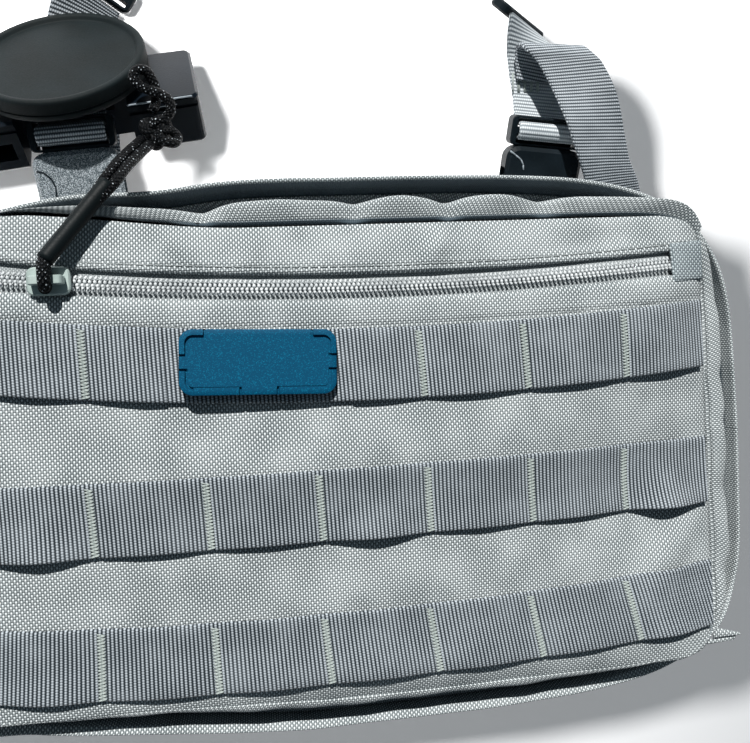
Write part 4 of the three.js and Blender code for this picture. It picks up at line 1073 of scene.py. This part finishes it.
SHEATH_START, SHEATH_END = np.array([-95.5, 74.7, 74.2]), np.array([-75.5, 101.0, 66.0])
SHEATH_SIDES, SHEATH_STEP = 24, 1.5
KNOT = np.array([-62.5, 124.6, 43.4])
KNOT_SHIFT, KNOT_SPREAD, KNOT_CORE = np.array([1.6, -0.2, 0.4]), np.array([1.5, 1.7, 1.25]), 0.72
KNOT_LOBE = np.array([
    (0.5, -3.0, 3.2), (3.6, -4.6, 2.8), (6.6, -4.4, 0.6), (7.4, -2.0, -0.8), (5.4, -0.2, 0.4),
    (2.0, -0.6, 2.6),
])
KNOT_SWELL, LOBE_SWELL = 1.1, 1.05  # how much thicker the cord is in the knot and its lobe
EYE_SHIFT, EYE_DROP = 1.6, 0.4  # above the zipper's middle line, and under the sheath's start
EYE_MIDDLE = np.array([ZIP_SLIDER_X, zip_y(ZIP_SLIDER_X) + EYE_SHIFT, SHEATH_START[2] - EYE_DROP])
EYE_SWAY, EYE_LENGTH, EYE_HEIGHT, EYE_DIAMETER = 0.4, 4.2, 2.6, 4.3
STRAND_IN_SHEATH, SPREAD_IN_SHEATH = 9.0, 0.5  # how far a strand goes in, and its share of the spread there
KNOT_STEPS, EYE_STEPS = 60, 17
SHEATH_WAY = unit(SHEATH_END - SHEATH_START)
STRAND_SPREAD = unit(np.array([0.75, -0.55, 0.35])) * (CORD_DIAMETER + GAP) / 2
KNOT_MOUTH = KNOT + unit(np.array([-1.8, -4.6, 3.4])) * (KNOT_RADIUS + 5 * GAP)
# Points between the sheath and the knot: share of the way, and how far off the straight line
STRAND_SAGS = [(0.3, np.array([0.2, 0.4, 1.6])), (0.68, np.array([0.2, 0.4, 1.2]))]
LOOP_ROUTE = np.array([
    (-56.8, 129.2, 44.5), (-55.1, 131.2, 45.6), (-55.3, 134.6, 46.6), (-58.2, 136.8, 47.2),
    (-62.3, 138.2, 47.6), (-65.6, 140, 47.6), (-67.4, 142.8, 47.6), (-66, 145.4, 47.4), (-63, 145.4, 46.8),
    (-61, 142.6, 45), (-60.2, 138.6, 42.8), (-60.7, 134.4, 42.7), (-61.7, 131.6, 45.3),
])
CORD_ASIDE = np.array([0.31, 0.12, 0.94])  # a direction that no cord follows


def add_cord(shape, points, diameter, closed=False, sides=16, step=0.6):
    """Adds a round cord along points to a shape; returns its centre line and its length."""
    line, _, distance = even_steps(*curve_through(points), step)
    way = unit(np.gradient(line, axis=0))
    side = unit(np.cross(way, CORD_ASIDE))
    rings = line[:, None] + diameter / 2 * spokes(side, np.cross(side, way), sides)
    turns = round(math.pi * diameter / BRAID_AROUND)
    uv = vec(*grid(distance, np.linspace(0, turns * BRAID_AROUND, sides + 1)))
    shape.tube(rings[:-1] if closed else rings, uv, closed)
    return line, distance[-1]


def strand_route(sign):
    inside = SHEATH_END - SHEATH_WAY * STRAND_IN_SHEATH + STRAND_SPREAD * sign * SPREAD_IN_SHEATH
    mouth = SHEATH_END + SHEATH_WAY * 3 * GAP + STRAND_SPREAD * sign
    end = KNOT_MOUTH + STRAND_SPREAD * sign
    between = [mouth + (end - mouth) * share + off for share, off in STRAND_SAGS]
    return np.array([inside, mouth, *between, end])


def knot_shape():
    """A trefoil with a lobe, round a smaller trefoil that fills its middle."""
    t = np.linspace(0, 2 * math.pi, KNOT_STEPS)
    trefoil = vec(np.sin(t) + 2 * np.sin(2 * t), np.cos(t) - 2 * np.cos(2 * t), -1.5 * np.sin(3 * t))
    middle = KNOT + KNOT_SHIFT
    shape = Shape()
    add_cord(shape, middle + trefoil * KNOT_SPREAD, CORD_DIAMETER * KNOT_SWELL, closed=True)
    add_cord(shape, middle + KNOT_LOBE, CORD_DIAMETER * LOBE_SWELL)
    core = middle + trefoil[:, [1, 0, 2]] * KNOT_SPREAD * KNOT_CORE
    add_cord(shape, core, CORD_DIAMETER, closed=True)
    return shape


def eye_shape():
    t = np.linspace(0, 2 * math.pi, EYE_STEPS)
    shape = Shape()
    route = EYE_MIDDLE + vec(EYE_SWAY * np.sin(t), EYE_LENGTH * np.cos(t), EYE_HEIGHT * np.sin(t))
    add_cord(shape, route, EYE_DIAMETER, closed=True)
    return shape


def sheath_shape():
    shape = Shape()
    add_cord(shape, [SHEATH_START, SHEATH_END], SHEATH_DIAMETER, sides=SHEATH_SIDES, step=SHEATH_STEP)
    return shape


knot_shape().piece("cord_knot", cord_braid, "cord", "pull_knot")
eye_shape().piece("cord_eye", cord_braid, "cord", "pull_eye")
sheath_shape().piece("cord_sheath", sheath_rubber, "cord", "pull_sheath")
for name, route in (("strand_1", strand_route(1)), ("strand_2", strand_route(-1)), ("loop", LOOP_ROUTE)):
    shape = Shape()
    line, length = add_cord(shape, route, CORD_DIAMETER)
    piece = shape.piece(f"cord_{name}", cord_braid, "cord", f"pull_{name}")


# Badge plate

BADGE_TILT, BADGE_SHARP = 2.2, 35  # degrees
GROOVE_INSET, GROOVE_WIDTH, GROOVE_DEPTH, NOTCH_HALF = 1.9, 0.9, 1.1, 0.35
STEEP = 0.08  # width of a groove's or notch's wall
CORNER_CLEAR, LEAST_CORNER, CORNER_STEPS = 0.2, 0.3, 12  # first stop past a corner, least radius, steps
NOTCH_SLACK = 0.01
# Sides of the plate, from the bottom one round by the right: how far the grooves run from the corners, and
# how much of their depth they have along the side and round the corner after it
BADGE_SIDES = [(20.0, 0.22, 0.22), (8.6, 0.4, 0.9), (8.4, 1.0, 1.0), (8.6, 1.0, 0.7)]
FACE = BADGE["thick"]
GROOVE_END = GROOVE_INSET + GROOVE_WIDTH
# Rings from the underside to the middle of the face: inset, height, and share of the groove and of the notch
BADGE_RINGS = [
    (0.6, 0.0, 0, 0), (0.0, 0.5, 0, 0), (0.0, FACE - 1.0, 0, 0), (0.0, FACE - 0.5, 0, 0.2),
    (0.12, FACE - 0.15, 0, 1), (0.4, FACE, 0, 1), (GROOVE_INSET, FACE, 0, 1),
    (GROOVE_INSET + STEEP, FACE, 1, 1), (GROOVE_END, FACE, 1, 0), (GROOVE_END + STEEP, FACE, 0, 0),
    (6.0, FACE, 0, 0), (9.0, FACE, 0, 0),
]


def side_stops(half, end):
    """Places along one side, closer together at the ends of its grooves."""
    wide = NOTCH_HALF + STEEP
    around_end = [end - wide, end - NOTCH_HALF, end + NOTCH_HALF, end + wide]
    stops = np.unique([BADGE["corner"] + CORNER_CLEAR, half, *around_end])
    return np.concatenate([stops, (2 * half - stops[:-1])[::-1]])


def plate_ring(inset):
    """Outline of the plate and, for each point, how deep a groove is there and whether a notch is."""
    radius = max(BADGE["corner"] - inset, LEAST_CORNER)
    reach = inset + radius
    angle = np.linspace(-math.pi / 2, 0, CORNER_STEPS)
    points, groove, notch = [], [], []
    for number, (end, along_side, round_corner) in enumerate(BADGE_SIDES):
        length, depth = (BADGE["width"], BADGE["height"])[::-1 if number % 2 else 1]
        along = np.clip(side_stops(length / 2, end), reach, length - reach)
        straight = vec(along - length / 2, inset - depth / 2)
        arc = np.array([length / 2 - reach, reach - depth / 2]) + radius * vec(np.cos(angle), np.sin(angle))
        turn = number * math.pi / 2
        spin = np.array([[math.cos(turn), -math.sin(turn)], [math.sin(turn), math.cos(turn)]])
        points.append(np.concatenate([straight, arc]) @ spin.T)
        near = np.minimum(along, length - along)
        groove += [(near < end) * along_side, np.full(len(angle), round_corner)]
        notch += [np.abs(near - end) <= NOTCH_HALF + NOTCH_SLACK, np.zeros(len(angle), bool)]
    return np.concatenate(points), np.concatenate(groove), np.concatenate(notch)


def badge_shape():
    rings, flat = [], []
    for inset, z, groove_share, notch_share in BADGE_RINGS:
        plan, groove, notch = plate_ring(inset)
        depth = GROOVE_DEPTH * np.maximum(groove_share * groove, notch_share * notch)
        rings.append(np.column_stack([plan, z - depth]))
        flat.append(looped(plan))
    spin = turned(("Z", BADGE["turn"]), ("Y", BADGE_TILT))
    place = np.array([BADGE["x"], BADGE["y"], BADGE["z"]])
    return Shape().tube(np.array(rings) @ spin.T + place, np.array(flat))


badge_shape().piece("badge_face", blue_paint, "blue_plate", "badge_plate", sharp=BADGE_SHARP)


# Dock

DOCK_PLACE, DOCK_TURN = np.array([-94.4, 144.8, 29.0]), turned(("Z", 8.3), ("X", -41.0))
DISC_SHIFT, DISC_STEPS, DISC_SHARP = 6.0, 144, 40
# Section of the disc from its underside to the middle of its tray: radius and height
DISC_SECTION = [
    (2.0, 0.0), (24.0, 0.0), (24.0, 2.2), (30.6, 2.2), (31.4, 2.5), (31.8, 3.0), (32.0, 3.8), (32.0, 4.6),
    (31.6, 4.9), (31.6, 5.2), (32.0, 5.5), (32.0, 9.1), (31.8, 9.9), (31.3, 10.4), (30.6, 10.5), (29.6, 10.4),
    (29.0, 10.0), (28.6, 9.2), (28.2, 8.95), (27.4, 8.9), (18.0, 8.9), (2.0, 8.9),
]
# Highlights painted along the edges of the dock's near wall: from and to along its length, across it, height,
# and radius
DOCK_HIGHLIGHTS = [(21.5, 45.6, -17.2, -0.2, 0.36), (28.5, 39.5, -17.3, -2.5, 0.3)]


def disc_shape():
    along, across, up = np.eye(3)
    around = spokes(along[None], across[None], DISC_STEPS)[0]
    rings = np.array([around * radius + DISC_SHIFT * across + (GAP + z) * up for radius, z in DISC_SECTION])
    uv = vec(*grid(np.arange(len(DISC_SECTION)), np.arange(DISC_STEPS + 1.0)))
    return Shape().tube(rings @ DOCK_TURN.T + DOCK_PLACE, uv)


def dock_highlights():
    shape = Shape()
    for low, high, across, height, radius in DOCK_HIGHLIGHTS:
        ends = np.array([(low, across, height), (high, across, height)]) @ DOCK_TURN.T + DOCK_PLACE
        shape.capsules(ends[:1], ends[1:], radius)
    return shape


disc_shape().piece("dock_tray", dock_rubber, "dock_rubber", "dock_disc", sharp=DISC_SHARP)
# highlights painted along the dock's near edges
dock_highlights().piece("dock_edge_highlights", edge_highlight, "black_plastic")


# Hard parts that keep their CAD solids: node, material and width of their rounded edges

BEVEL_ANGLE, BEVEL_SEGMENTS = 28, 2  # degrees, and steps across a rounded edge
DRESSED = [
    ("buckle_body_right", black_plastic, 0.35), ("buckle_body_left", glinting_plastic, 0.35),
    ("buckle_lock_right", black_plastic, 0.3), ("buckle_lock_left", black_plastic, 0.3),
    ("strap_slider_right", black_plastic, 0.35), ("strap_slider_left", black_plastic, 0.35),
    ("dock_body", dock_plastic, 0.9), ("badge_base", black_plastic, 0.1), ("zip_slider", slider_metal, 0.2),
]


def dress(node, material, bevel):
    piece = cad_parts[node]
    piece.data.materials.clear()
    piece.data.materials.append(material)
    piece.data.shade_smooth()
    rounding = piece.modifiers.new("rounding", "BEVEL")
    rounding.width = bevel * MM
    rounding.segments = BEVEL_SEGMENTS
    rounding.limit_method = "ANGLE"
    rounding.angle_limit = math.radians(BEVEL_ANGLE)
    rounding.harden_normals = True


for row in DRESSED:
    dress(*row)


# Stage: floor, sun, sky and the photograph's camera

SUN_DIRECTION = np.array([-0.12, 0.65, 0.75])  # towards the sun
LAMP_SHIFT, LAMP_SIZE = np.array([-125.0, 100.0, 0.0]), 80.0  # the floor's own lamp, from the camera
SUN_POWER, LAMP_POWER, SKY_POWER = 5.8, 4.2, 0.13
FLOOR_GLOW, GLOW_COLOUR = 0.2, (1.0, 0.96, 0.94, 1.0)  # lifts the shadows on the floor
SUN_COLOUR, SKY_COLOUR = (1.0, 0.985, 0.955), (0.66, 0.86, 1.0, 1.0)
SUN_SPREAD = 1.2  # degrees
FLOOR_HALF, FLOOR_NOISE = 4000.0, 3.0
FLOOR_COLOURS = rgb(250, 250, 250), rgb(254, 254, 254)
CAMERA_PLACE = np.array([-29.8, 39.7, 348.1])
CAMERA_TURN = (("Z", 3.0), ("X", 1.5), ("Y", 8.5))  # degrees, from the pack's axes to the camera's
CAMERA_SENSOR, CAMERA_LENS, CAMERA_NEAR = 36.0, 38.4, 10.0


def add_floor():
    finish = Finish("floor", 0.9, Emission_Color=GLOW_COLOUR, Emission_Strength=FLOOR_GLOW)
    finish.colour(finish.noise(FLOOR_NOISE), *FLOOR_COLOURS)
    size = FLOOR_HALF * MM
    mesh = bpy.data.meshes.new("floor")
    corners = [(-size, -size, 0), (size, -size, 0), (size, size, 0), (-size, size, 0)]
    mesh.from_pydata(corners, [], [(0, 1, 2, 3)])
    mesh.materials.append(finish.material)
    floor = add_object("floor", mesh)
    return floor


def add_light(kind, name, power, colour, floor, state):
    """A light that reaches only the floor, or everything else."""
    data = bpy.data.lights.new(name, kind)
    data.energy = power
    data.color = colour
    light = add_object(name, data)
    receivers = bpy.data.collections.new(name + "_receivers")
    receivers.objects.link(floor)
    receivers.collection_objects[0].light_linking.link_state = state
    light.light_linking.receiver_collection = receivers
    return light


def add_lights(floor):
    """A crisp sun on the pack, a lamp beside the camera that shades the floor softly, and the sky."""
    sun = add_light("SUN", "sun", SUN_POWER, SUN_COLOUR, floor, "EXCLUDE")
    sun.data.angle = math.radians(SUN_SPREAD)
    sun.rotation_mode = "QUATERNION"
    sun.rotation_quaternion = Vector(SUN_DIRECTION).to_track_quat("Z", "Y")
    lamp = add_light("AREA", "floor_lamp", LAMP_POWER, (1.0, 1.0, 1.0), floor, "INCLUDE")
    lamp.data.shape = "DISK"
    lamp.data.size = LAMP_SIZE * MM
    lamp.location = (CAMERA_PLACE + LAMP_SHIFT) * MM
    world = bpy.data.worlds.new("sky")
    world.use_nodes = True
    background = world.node_tree.nodes["Background"]
    background.inputs[0].default_value = SKY_COLOUR
    background.inputs[1].default_value = SKY_POWER
    bpy.context.scene.world = world


def add_camera():
    data = bpy.data.cameras.new("camera")
    data.sensor_fit = "HORIZONTAL"
    data.sensor_width = CAMERA_SENSOR
    data.lens = CAMERA_LENS
    data.clip_start = CAMERA_NEAR * MM
    camera = add_object("camera", data)
    camera.matrix_world = Matrix.Translation(CAMERA_PLACE * MM) @ Matrix(turned(*CAMERA_TURN).T).to_4x4()
    bpy.context.scene.camera = camera


add_lights(add_floor())
add_camera()
bpy.context.scene.view_settings.view_transform = "Standard"
